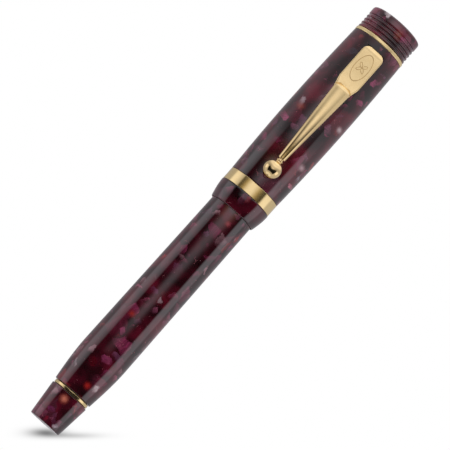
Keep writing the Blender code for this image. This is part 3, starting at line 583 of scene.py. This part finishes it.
def cap_radius(z):
    if z < 107.6:
        u = (107.6 - z) / (107.6 - CAP_Z0)
        return 8.325 - (8.325 - 7.755) * u * u
    u = (z - 107.6) / (CAP_Z1 - 107.6)
    return 8.325 - (8.325 - 7.85) * u * u


LIP_Z0 = foot_of("cap_lip")


def lip_radius(z):
    u = (z - LIP_Z0) / (79.1 - LIP_Z0)
    return 6.98 + 0.82 * math.sin(math.pi / 2 * u)


def thread(root, crest, z0, z1, n, lead=3.6, pitch=1.2, rows_per_pitch=9):
    """Rings of a rounded V thread with three starts, fading out at both ends."""
    rings = []
    count = int((z1 - z0) / pitch * rows_per_pitch)
    starts = lead / pitch
    for k in range(count + 1):
        z = z0 + (z1 - z0) * k / count
        fade = smooth((z - z0) / 0.6) * smooth((z1 - z) / 0.6)
        out = []
        for i in range(n):
            a = TAU * i / n
            phase = (z / pitch - starts * a / TAU) % 1.0
            tri = 1 - abs(2 * phase - 1)
            form = smooth((tri - 0.12) / 0.76)
            r = root + (crest - root) * form * fade
            out.append((r * math.cos(a), r * math.sin(a), z))
        rings.append(out)
    return rings


# --------------------------------------------------------------- pieces
def build_tail():
    top = top_of("piston_knob")
    outline = [(0, 0.0), (4.60, 0.0), (4.72, 0.12, 0.06)]
    outline += [(4.72 + 0.98 * z / top, z) for z in spread(0.6, top - 0.6, 10)]
    outline += [(5.69, top, 0.16), (3.0, top), (3.0, 8.9), (2.36, 8.85), (2.36, 1.9), (0, 1.9)]
    knob = turn("knob_fine", outline, MAT["knob"], closed=False)
    place(knob, KNOB, "marbled_resin", "piston_knob")

    low, high = foot_of("tail_ring"), top_of("tail_ring")
    ring_fine = turn("tail_ring_fine", [(3.10, low), (5.45, low, 0.34), (5.45, high, 0.30),
                                        (3.10, high)], MAT["tail"])
    place(ring_fine, ROOT, "gold_plate", "tail_ring")


def build_barrel():
    n = 160
    points = [(5.72, BARREL_Z0), (5.80, BARREL_Z0 + 0.03), (5.865, BARREL_Z0 + 0.10)]
    points += [(barrel_radius(z), z) for z in spread(BARREL_Z0 + 0.25, 23.85, 34)]
    points += [(barrel_radius(z), z) for z in spread(25.0, 72.0, 40)]
    points += [(6.50, 73.6), (6.49, 74.55), (6.42, 74.66), (5.98, 74.95), (5.92, 75.05)]
    rings = [ring(r, z, n) for r, z in points]
    rings += thread(5.92, 6.25, 75.15, 80.75, n)
    rings += [ring(r, z, n) for r, z in ((5.92, BARREL_Z1 - 0.06), (5.86, BARREL_Z1),
                                         (5.15, BARREL_Z1), (5.15, 76.6), (4.75, 76.6),
                                         (4.75, BARREL_Z0))]
    body = skin("barrel_fine", rings, MAT["barrel"])
    place(body, ROOT, "marbled_resin", "barrel")


def section_radius(z):
    if z < 97.0:
        u = (z - 81.9) / (97.0 - 81.9)
        return 5.85 - 0.90 * smooth(u)
    u = (z - 97.0) / (101.6 - 97.0)
    return 4.95 + 0.35 * u ** 1.8


def build_grip():
    outline = [(3.0, 76.7), (4.9, 76.7), (5.08, 76.95), (5.08, 79.85), (4.70, 79.85),
               (4.70, 80.75), (5.08, 80.75), (5.08, 81.9), (5.78, 81.9), (5.85, 81.98)]
    outline += [(section_radius(z), z) for z in spread(82.3, 101.45, 48)]
    outline += [(5.26, 101.6, 0.05), (4.5, 101.6), (4.5, 102.5, 0.1), (3.95, 102.5, 0.1),
                (3.95, 84.0), (3.0, 84.0)]
    grip = turn("section_fine", outline, MAT["grip"])
    place(grip, ROOT, "marbled_resin", "section")
    for name, node, inner, outer in (("section_ring_fine", "section_ring", 5.14, 6.05),
                                     ("front_ring_fine", "front_ring", 4.55, 5.37)):
        low, high = foot_of(node), top_of(node)
        trim = turn(name, [(inner, low), (outer, low, 0.14), (outer, high, 0.14),
                           (inner, high)], MAT["gold"])
        place(trim, ROOT, "gold_plate", node)
    collar = turn("nib_housing_fine", [(1.0, 84.3), (3.6, 84.3, 0.1), (3.88, 84.6, 0.1),
                                       (3.88, 102.3, 0.12), (3.24, 102.3, 0.12), (3.24, 85.0),
                                       (1.0, 85.0)], MAT["feed"], 96)
    place(collar, ROOT, "black_plastic", "nib_housing")


NIB_OUT, NIB_SHOULDER, NIB_TIP = 103.0, 107.0, 122.0


def nib_apex(z):
    u = max(0.0, (z - NIB_OUT) / (NIB_TIP - NIB_OUT))
    return 3.17 - 1.30 * u ** 1.6


def nib_bend(z):
    return 3.17 + 2.4 * smooth((z - NIB_OUT) / 10.0)


def nib_half(z):
    heel = 3.17 * math.radians(100)
    if z <= NIB_OUT:
        return heel
    if z <= NIB_SHOULDER:
        return heel - 0.15 * smooth((z - NIB_OUT) / (NIB_SHOULDER - NIB_OUT))
    v = (z - NIB_SHOULDER) / (NIB_TIP - NIB_SHOULDER)
    return 0.50 + (heel - 0.15 - 0.50) * (1 - smooth(v) * 0.25 - v * 0.75) ** 1.15


def build_nib():
    across = 56

    def nib_ring(z):
        top, bend, half = nib_apex(z), nib_bend(z), nib_half(z)
        out = []
        for r, order, outer in ((bend, range(across + 1), True),
                                (bend - 0.30, range(across, -1, -1), False)):
            for i in order:
                t = 2 * i / across - 1
                a = half / bend * t
                depth = 0.0
                if outer:
                    edge = half * (1 - abs(t))
                    # an engraved border line, and a second finer one inside it
                    for inset, width, deep in ((0.55, 0.10, 0.06), (0.95, 0.06, 0.035)):
                        if 104.0 < z < 119.0:
                            depth = max(depth, deep * max(0.0, 1 - abs(edge - inset) / width))
                    if edge < 0.08:
                        depth = max(depth, 0.08 - edge)
                q = r - depth
                out.append((q * math.sin(a), -top + bend - q * math.cos(a), z))
        return out

    rings = [nib_ring(z) for z in spread(89.0, 103.0, 10)[:-1] + spread(103.0, 122.0, 90)]
    nib = skin("nib_fine", rings, MAT["nib"], closed=False, caps=True)
    cut(nib, block((-0.06, -6, 110.9), (0.06, 3, 124.0), MAT["nib"]))
    hole = ring(0.72, 0, 28)
    tool = skin("tool", [[(x, -6.0, 110.9 + y) for x, y, _ in hole],
                         [(x, -1.2, 110.9 + y) for x, y, _ in hole]], MAT["nib"],
                closed=False, caps=True)
    cut(nib, tool)
    place(nib, ROOT, "gold_plate", "nib")
    for node, side in (("nib_tip_left", -1), ("nib_tip_right", 1)):
        low, high = (c / MM for c in (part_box(node)[0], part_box(node)[1]))
        mid, size = (low + high) / 2, (high - low) / 2
        rings = []
        for k in range(13):
            b = math.pi * k / 12
            r, z = math.sin(b), -math.cos(b)
            if k in (0, 12):
                rings.append([(mid.x, mid.y, mid.z + size.z * z)])
                continue
            row = []
            for i in range(24):
                a = TAU * i / 24
                x = math.cos(a) * r * size.x
                if x * side < -size.x * 0.62:
                    x = -size.x * 0.62 * side
                row.append((mid.x + x, mid.y + math.sin(a) * r * size.y, mid.z + size.z * z))
            rings.append(row)
        tip = skin(node + "_fine", rings, MAT["tip"], closed=False)
        place(tip, ROOT, "tipping_alloy", node)

    n = 48

    def feed_ring(z, lower=1.0):
        v = max(0.0, (z - NIB_OUT) / 14.5)
        rx, ry = 2.80 - 1.9 * v, 2.80 - 2.1 * v
        cy = ry - (nib_apex(z) - 0.37) if z > NIB_OUT else 0.0
        out = []
        for i in range(n):
            a = TAU * i / n
            x, y = rx * math.cos(a), ry * math.sin(a)
            if y > 0.1:
                k = 1 + (lower - 1) * smooth((y - 0.1) / 0.25)
                x, y = x * k, y * k
            out.append((x, cy + y, z))
        return out

    rings = [feed_ring(z) for z in (85.3, 95.0, 103.2)]
    for k in range(15):
        z = 103.7 + 0.68 * k
        rings += [feed_ring(z), feed_ring(z + 0.02, 0.66), feed_ring(z + 0.32, 0.66),
                  feed_ring(z + 0.34)]
    rings += [feed_ring(z) for z in (114.2, 115.2, 116.2, 116.6)]
    feed = skin("feed_fine", rings, MAT["feed"], closed=False, caps=True)
    place(feed, ROOT, "black_plastic", "feed")


def build_cap():
    n = 160
    top = 79.1
    points = [(6.80, LIP_Z0), (6.86, LIP_Z0 + 0.01), (6.94, LIP_Z0 + 0.06), (6.99, LIP_Z0 + 0.14)]
    points += [(lip_radius(z), z) for z in spread(LIP_Z0 + 0.25, top - 0.12, 24)]
    points += [(7.765, top - 0.03), (7.70, top), (7.28, top), (7.28, 84.0), (6.72, 84.0)]
    rings = [ring(r, z, n) for r, z in points]
    rings += list(reversed(thread(6.68, 6.35, 75.15, 80.75, n)))
    rings += [ring(6.68, 74.2, n), ring(6.74, LIP_Z0 + 0.05, n)]
    lip = skin("cap_lip_fine", rings, MAT["lip"])
    place(lip, CAP, "marbled_resin", "cap_lip")

    low, high = foot_of("cap_band"), top_of("cap_band")
    band = turn("cap_band_fine", [(7.33, low), (7.74, low, 0.10), (7.74, high, 0.10),
                                  (7.33, high)], MAT["gold"])
    place(band, CAP, "gold_plate", "cap_band")

    outline = [(7.68, CAP_Z0), (7.73, CAP_Z0 + 0.03), (7.76, CAP_Z0 + 0.10)]
    outline += [(cap_radius(z), z) for z in spread(CAP_Z0 + 0.3, CAP_Z1 - 0.25, 72)]
    outline += [(7.83, CAP_Z1 - 0.06), (7.76, CAP_Z1), (5.90, CAP_Z1), (5.90, 126.9),
                (6.75, 126.9), (6.75, 84.1), (7.33, 84.1), (7.33, CAP_Z0)]
    shell = turn("cap_shell_fine", outline, MAT["cap"])
    cut(shell, block((-2.75, -10.0, 128.15), (2.75, -4.0, 129.95), MAT["cap"]))
    place(shell, CAP, "marbled_resin", "cap_shell")

    low, high = foot_of("crown_ring"), top_of("crown_ring")
    trim = turn("crown_ring_fine", [(5.90, low), (7.91, low, 0.16), (7.91, high, 0.16),
                                    (5.90, high)], MAT["satin"])
    place(trim, CAP, "gold_plate", "crown_ring")

    outline = [(0, 136.4), (1.65, 136.4), (1.65, 130.3), (5.80, 130.3, 0.2), (5.80, 133.1),
               (7.40, 133.1, 0.1), (7.77, 133.38, 0.14)]
    for k in range(4):
        z = 134.25 + 1.083 * k
        outline += [(7.77, z - 0.36, 0.14), (7.32, z - 0.19, 0.10), (7.32, z + 0.19, 0.10),
                    (7.77, z + 0.36, 0.14)]
    outline += [(7.77, 139.30, 0.0), (7.75, 139.54), (7.68, 139.74), (7.55, 139.88),
                (7.38, 139.96), (7.15, 140.0),
                (4.0, 140.0), (0, 140.0)]
    crown = turn("cap_crown_fine", outline, MAT["crown"], closed=False, steps=3)
    place(crown, CAP, "marbled_resin", "cap_crown")

    outline = [(0, 125.0), (1.72, 125.0), (1.72, 126.6, 0.1), (6.4, 126.6, 0.2), (6.70, 126.3),
               (6.70, 102.85, 0.1), (6.5, 102.65, 0.1), (5.10, 102.65, 0.1), (5.10, 103.85),
               (5.75, 104.45), (5.75, 122.6, 0.9), (4.6, 123.6, 0.8), (0, 123.6)]
    liner = turn("inner_cap_fine", outline, MAT["liner"], 96, closed=False)
    place(liner, LINER, "liner_plastic", "inner_cap")


def engraving(x, z):
    """Depth of the plate's engraved ornament."""
    depth = 0.0
    for cx, cz, half_x, half_z, angle, width in ORNAMENT:
        ca, sa = math.cos(angle), math.sin(angle)
        dx, dz = x - cx, z - ORNAMENT_Z - cz
        u, v = (dx * ca + dz * sa) / half_x, (dz * ca - dx * sa) / half_z
        rad = math.hypot(u, v)
        if rad > 1e-6:
            slope = math.hypot(u / half_x, v / half_z) / rad
            depth = max(depth, 0.02 * max(0.0, 1 - abs(rad - 1.0) / slope / width))
    return depth


def build_clip():
    across = 120
    base0 = cap_radius(124.0) + 0.40
    neck_z, neck_half = 91.45, 1.06
    base1 = 10.72 - neck_half

    def plate_half(z):
        if z > 127.7:
            d = min(1.0, (z - 127.7) / 2.0)
            return 3.25 - 1.85 * (1 - math.sqrt(max(0.0, 1 - d * d)))
        if z > 118.9:
            return 3.25
        return 3.25 - 0.66 * smooth((118.9 - z) / 3.6) ** 0.9

    def base(z):
        if z >= 115.4:
            return base0 + 0.25 * smooth((129.7 - z) / 12.0)
        u = (115.4 - z) / (115.4 - neck_z)
        return base0 + 0.25 + (base1 - base0 - 0.25) * u

    def ridge(z):
        """How far out the half-round's crest is: a shallow bow."""
        return 11.82 - 0.00131 * (z - 104.5) ** 2

    def row(z):
        b = base(z)
        out = []
        if z >= 115.4:
            w = plate_half(z)
            thick, bev = 1.0, 0.40
            if z > 128.2:
                d = min(1.0, (z - 128.2) / 1.5)
                thick = 0.25 + 0.75 * math.sqrt(max(0.0, 1 - d ** 2.2))
            dome = 0.0
            if z < 117.0:
                dome = math.sqrt(max(0.0, 1 - ((z - 115.4) / 1.6) ** 2))
            for i in range(across + 1):
                t = 2 * i / across - 1
                x = w * (0.45 * t + 0.55 * math.sin(math.pi / 2 * t))
                q = thick
                over = abs(x) - (w - bev)
                if over > 0:
                    q -= bev * (1 - math.sqrt(max(0.0, 1 - (over / bev) ** 2)))
                q -= engraving(x, z)
                if dome > 0:
                    e = x / (2.50 * dome)
                    if abs(e) < 1:
                        rise = ridge(115.4) - base(115.4) - 0.92
                        q = max(q, 0.92 + rise * dome * math.sqrt(1 - e * e))
                    # the groove round the foot of the dome
                    rim = math.hypot(x / 2.50, max(0.0, z - 115.4) / 1.6)
                    q -= 0.16 * smooth((z - 115.4) / 0.5) * smooth(1 - abs(rim - 1.06) / 0.10)
                out.append((x, b + max(q, 0.12)))
            out += [(w, b + 0.12), (w - 0.12, b), (-w + 0.12, b), (-w, b + 0.12)]
        else:
            u = (115.4 - z) / (115.4 - neck_z)
            w = 2.50 + (neck_half - 2.50) * u
            e = 1.86 + (neck_half - 1.86) * u
            crest = ridge(z)
            shrink = 1.0
            if z < neck_z + 0.25:
                shrink = 0.86 + 0.14 * math.sqrt(max(0.0, 1 - ((neck_z + 0.25 - z) / 0.25) ** 2))
            for i in range(across + 1):
                t = 2 * i / across - 1
                x = w * math.sin(math.pi / 2 * t) * shrink
                out.append((x, crest - e + e * math.cos(math.pi / 2 * t) * shrink))
            edge = w * shrink
            out += [(edge, b + 0.06), (edge - 0.06, b), (-edge + 0.06, b), (-edge, b + 0.06)]
        return [(x, -q, z) for x, q in out]

    heights = [129.7, 129.66, 129.58, 129.46, 129.3, 129.1, 128.85]
    heights += spread(128.7, 118.9, 190) + spread(118.8, 116.9, 14) + spread(116.85, 115.41, 34)
    heights += spread(115.39, 114.4, 8) + spread(114.0, neck_z + 0.3, 60)
    heights += [neck_z + 0.25, neck_z + 0.17, neck_z + 0.09, neck_z + 0.03, neck_z]
    clip = skin("clip_fine", [row(z) for z in heights], MAT["clip"], closed=False, caps=True,
                sharp=38)
    cut(clip, block((-2.4, -9.05, 128.65), (2.4, -5.45, 129.42), MAT["clip"]), "UNION")
    place(clip, CLIP, "gold_plate", "clip")

    # ball, with its turned neck and bead
    radius, centre_z, out_y = 2.525, 87.9, 10.72
    neck = 0.86
    start = math.acos(neck / radius)
    outline = [(0, neck_z - 0.05), (0.70, neck_z - 0.05), (0.70, neck_z - 0.42),
               (0.90, neck_z - 0.50, 0.06), (0.98, neck_z - 0.66, 0.08),
               (0.90, neck_z - 0.84, 0.06), (0.78, neck_z - 0.92)]
    outline += [(radius * math.cos(start - (start + math.pi / 2) * k / 40),
                 centre_z + radius * math.sin(start - (start + math.pi / 2) * k / 40))
                for k in range(40)]
    outline += [(0, centre_z - radius)]
    ball = turn("clip_ball_fine", outline, MAT["clip"], 96, closed=False)
    for v in ball.data.vertices:
        v.co.y -= out_y * MM
    place(ball, CLIP, "gold_plate", "clip_ball")


build_tail()
build_barrel()
build_grip()
build_nib()
build_cap()
build_clip()

KEPT = {
    "guide_sleeve": "brass", "spindle_retainer": "brass", "piston_spindle": "brass",
    "crown_stud": "brass", "clip_washer": "brass", "spindle_oring": "rubber",
    "section_oring": "rubber", "piston_seal_rear": "rubber", "piston_seal_front": "rubber",
    "piston_rod": "black", "piston_head": "ptfe",
}
for node, key in KEPT.items():
    obj = frame["nodes"][node]
    for s in obj.material_slots:
        s.material = MAT[key]

# --------------------------------------------------------------- camera
AZ, EL, ROLL = math.radians(-2.5), math.radians(-6.9), math.radians(41.55)
DIST, AIM_Z, AIM_X = 895.9, 70.1, 0.87
side = Vector((math.cos(AZ), math.sin(AZ), 0))
back = Vector((math.sin(AZ) * math.cos(EL), -math.cos(AZ) * math.cos(EL), math.sin(EL)))
aim = Vector((0, 0, AIM_Z)) + side * AIM_X
up = back.cross(side)
if up.z < 0:
    up = -up
image_up = up * math.cos(ROLL) - side * math.sin(ROLL)
image_right = side * math.cos(ROLL) + up * math.sin(ROLL)
cam_data = bpy.data.cameras.new("camera")
cam = bpy.data.objects.new("camera", cam_data)
SCENE.collection.objects.link(cam)
cam_data.sensor_width = 36.0
cam_data.lens = 36.0 * 3423.0 / 450.0
cam_data.clip_start, cam_data.clip_end = 0.05, 20.0
cam.matrix_world = Matrix.Translation((aim + back * DIST) * MM) @ Matrix((
    (image_right.x, image_up.x, back.x, 0), (image_right.y, image_up.y, back.y, 0),
    (image_right.z, image_up.z, back.z, 0), (0, 0, 0, 1)))
SCENE.camera = cam
SCENE.view_settings.view_transform = "Standard"
SCENE.view_settings.look = "None"


# --------------------------------------------------------------- light and floor
def studio():
    """Soft studio light. The world lights the surfaces evenly; what the polished
    surfaces mirror is a round room 0.3 m off: pale walls, a tall soft box at
    each side of the pen, and a soft glow over the camera."""
    world = bpy.data.worlds.new("studio")
    SCENE.world = world
    world.use_nodes = True
    world.cycles.sampling_method = "NONE"
    g = Graph(world.node_tree)
    out = g.node("ShaderNodeOutputWorld")
    d = g.vmath("NORMALIZE", g.node("ShaderNodeTexCoord").outputs["Generated"])
    up_part = g.vmath("DOT_PRODUCT", d, (0, 0, 1))
    path = g.node("ShaderNodeLightPath")
    lit = g.node("ShaderNodeBackground")
    g.put(lit.inputs["Strength"], g.ease(up_part, -0.8, 0.8, 0.80, 1.10))
    plain = g.node("ShaderNodeBackground")
    plain.inputs["Strength"].default_value = 1.0
    for n in (lit, plain):
        n.inputs["Color"].default_value = (1, 1, 1, 1)
    pick = g.node("ShaderNodeMixShader")
    g.put(pick.inputs[0], path.outputs["Is Camera Ray"])
    g.t.links.new(lit.outputs[0], pick.inputs[1])
    g.t.links.new(plain.outputs[0], pick.inputs[2])
    g.t.links.new(pick.outputs[0], out.inputs[0])

    mat = bpy.data.materials.new("room_light")
    mat.use_nodes = True
    mat.cycles.emission_sampling = "NONE"
    g = Graph(mat.node_tree)
    out = g.node("ShaderNodeOutputMaterial")
    geo = g.node("ShaderNodeNewGeometry")
    pos = geo.outputs["Position"]
    facing = (math.sin(AZ), -math.cos(AZ), 0)
    az = g.math("MULTIPLY", g.math("ARCTAN2", g.vmath("DOT_PRODUCT", pos, tuple(side)),
                                   g.vmath("DOT_PRODUCT", pos, facing)), 180 / math.pi)
    h = g.math("MULTIPLY", g.vmath("DOT_PRODUCT", pos, (0, 0, 1)), 1000.0)
    el = g.math("MULTIPLY", g.math("ARCSINE", g.vmath("DOT_PRODUCT", geo.outputs["Incoming"],
                                                      (0, 0, -1))), 180 / math.pi)

    def over(base, mask, level):
        return g.math("ADD", g.math("MULTIPLY", base, g.math("SUBTRACT", 1.0, mask)),
                      g.math("MULTIPLY", mask, level))

    def times(*values):
        out_value = values[0]
        for v in values[1:]:
            out_value = g.math("MULTIPLY", out_value, v)
        return out_value

    away = g.math("ABSOLUTE", az)
    level = g.ease(away, 95, 140, 0.45, 0.42)
    level = g.math("ADD", level, times(g.ease(az, 86, 98), g.ease(h, 90, 190, 0.10, 0.02)))
    level = over(level, g.ease(h, 230, 420), 0.9)
    # the two tall soft boxes
    tall = times(g.ease(h, 105, 160, 1.0, 0.0), g.ease(h, -75, -10, 0.25, 1.0))
    left = times(tall, g.ease(az, -108, -93), g.ease(az, -84, -50, 1.0, 0.0))
    level = over(level, left, 1.06)
    right = times(tall, g.ease(az, 55, 64), g.ease(az, 85, 98, 1.0, 0.0))
    level = over(level, right, 1.06)
    # the unlit part of the room behind the camera, open above
    reach = g.ease(az, -60, -50)
    reach = over(reach, g.ease(h, 125, 150), g.ease(az, -92, -58))
    front = times(reach, g.ease(az, 52, 58, 1.0, 0.0), g.ease(el, -50, -42))
    shade = g.math("ADD", g.ease(h, 118, 175, 0.01, 0.27), g.ease(h, 106, 118, 0.0, 0.022))
    level = over(level, times(front, g.ease(el, 16, 30, 1.0, 0.0)), shade)
    # the glow over the camera, wider and stronger with height
    u = g.math("DIVIDE", g.math("SUBTRACT", az, -6.3), g.ease(h, 78, 124, 14.5, 25.0))
    u = g.math("MAXIMUM", g.math("DIVIDE", u, g.ease(el, 11.5, 14.0, -0.84, -1.06)),
               g.math("DIVIDE", u, g.ease(el, 11.5, 14.0, 1.0, 1.2)))
    bell = g.math("EXPONENT", g.math("MULTIPLY", g.math("POWER", u, 2.5), -0.5))
    lamp = g.math("ADD", g.ease(h, 40, 70, 0.0, 0.52), g.ease(h, 104, 120, 0.0, 0.48))
    lamp = g.math("SUBTRACT", lamp, g.ease(h, 126, 142, 0.0, 0.22))
    lamp = over(lamp, times(g.ease(h, 112, 119), g.ease(el, 5.4, 7.8, 1.0, 0.0)), 0.0)
    glow = times(bell, lamp, g.ease(el, 10.5, 14.0, 1.0, 0.35), g.ease(el, 40, 60, 1.0, 0.0))
    level = g.math("ADD", level, glow)
    warm = times(front, g.ease(h, 106, 116), g.ease(h, 122, 133, 1.0, 0.0),
                 g.ease(level, 0.25, 0.95, 1.0, 0.0))
    tint = g.mix(warm, (1.0, 0.975, 1.02), (1.0, 0.78, 0.36))
    light = g.node("ShaderNodeEmission")
    g.put(light.inputs["Color"], tint)
    g.put(light.inputs["Strength"], level)
    g.t.links.new(light.outputs[0], out.inputs[0])
    walls = ring(300, -500, 128), ring(300, 900, 128)
    room = skin("room", list(walls), mat, closed=False)
    room.visible_camera = False
    room.visible_diffuse = False
    room.visible_shadow = False
    room.visible_transmission = False


def floor():
    """A pale floor under the tail. It is seen from above only, and fades into
    the white backdrop."""
    r, n = 900.0, 64
    verts = [(0, 0, 0)] + ring(r, 0, n)
    faces = [(0, 1 + i, 1 + (i + 1) % n) for i in range(n)]
    mat = bpy.data.materials.new("floor_pale")
    mat.use_nodes = True
    g = Graph(mat.node_tree)
    out = g.node("ShaderNodeOutputMaterial")
    white = g.node("ShaderNodeBsdfPrincipled")
    coords = g.node("ShaderNodeTexCoord").outputs["Object"]
    grain = g.noise(coords, 60.0, 4, 0.6)
    g.put(white.inputs["Base Color"], g.mix(grain, (0.80, 0.80, 0.80), (0.84, 0.84, 0.84)))
    white.inputs["Roughness"].default_value = 0.8
    clear = g.node("ShaderNodeBsdfTransparent")
    geo = g.node("ShaderNodeNewGeometry")
    path = g.node("ShaderNodeLightPath")
    reach = g.ease(g.vmath("LENGTH", coords), 0.10, 0.60, 1.0, 0.0)
    show = g.math("MULTIPLY", reach, path.outputs["Is Camera Ray"])
    show = g.math("MULTIPLY", show, g.math("SUBTRACT", 1.0, geo.outputs["Backfacing"]))
    pick = g.node("ShaderNodeMixShader")
    g.put(pick.inputs[0], show)
    g.t.links.new(clear.outputs[0], pick.inputs[1])
    g.t.links.new(white.outputs[0], pick.inputs[2])
    g.t.links.new(pick.outputs[0], out.inputs[0])
    obj = make("floor", verts, faces, mat)
    for poly in obj.data.polygons:
        if poly.normal.z < 0:
            poly.flip()
    obj.location.z = -0.0002


def contact_shadow():
    """The soft shadow beside the tail: a card behind the tail that only the
    camera's own direction shows."""
    px = DIST / 3423.0        # millimetres a pixel, at the aim's distance
    depth = 12.0
    k = (DIST + depth) / DIST
    centre = aim - back * depth

    def at(x, y):
        return centre + image_right * ((x - 225) * px * k) - image_up * ((y - 225) * px * k)

    corners = [at(2, 412), at(140, 412), at(140, 449), at(2, 449)]
    verts = [tuple(c) for c in corners]
    mat = bpy.data.materials.new("shadow_soft")
    mat.use_nodes = True
    g = Graph(mat.node_tree)
    out = g.node("ShaderNodeOutputMaterial")
    pos = g.node("ShaderNodeNewGeometry").outputs["Position"]
    rel = g.vmath("SUBTRACT", pos, tuple(centre * MM))
    x = g.math("MULTIPLY", g.vmath("DOT_PRODUCT", rel, tuple(image_right)), 1000.0 / (px * k))
    y = g.math("MULTIPLY", g.vmath("DOT_PRODUCT", rel, tuple(-image_up)), 1000.0 / (px * k))

    def blob(cx, cy, sx, sy, strength):
        u = g.math("DIVIDE", g.math("SUBTRACT", x, cx - 225.0), sx)
        v = g.math("DIVIDE", g.math("SUBTRACT", y, cy - 225.0), sy)
        e = g.math("ADD", g.math("MULTIPLY", u, u), g.math("MULTIPLY", v, v))
        return g.math("MULTIPLY", g.math("EXPONENT", g.math("MULTIPLY", e, -0.5)), strength)

    dark = g.math("ADD", blob(45.5, 432.3, 12.3, 3.1, 0.70), blob(70, 435.6, 21.0, 2.2, 0.36),
                  clamp=True)
    incoming = g.node("ShaderNodeNewGeometry").outputs["Incoming"]
    only = g.ease(g.vmath("DOT_PRODUCT", incoming, tuple(back)), 0.990, 0.995)
    path = g.node("ShaderNodeLightPath").outputs["Is Camera Ray"]
    dark = g.math("MULTIPLY", g.math("MULTIPLY", dark, only), path)
    black = g.node("ShaderNodeEmission")
    black.inputs["Color"].default_value = (0.0, 0.0, 0.0, 1)
    clear = g.node("ShaderNodeBsdfTransparent")
    pick = g.node("ShaderNodeMixShader")
    g.put(pick.inputs[0], dark)
    g.t.links.new(clear.outputs[0], pick.inputs[1])
    g.t.links.new(black.outputs[0], pick.inputs[2])
    g.t.links.new(pick.outputs[0], out.inputs[0])
    card = make("shadow_card", verts, [(0, 1, 2, 3)], mat)


studio()
floor()
contact_shadow()

bpy.context.view_layer.update()
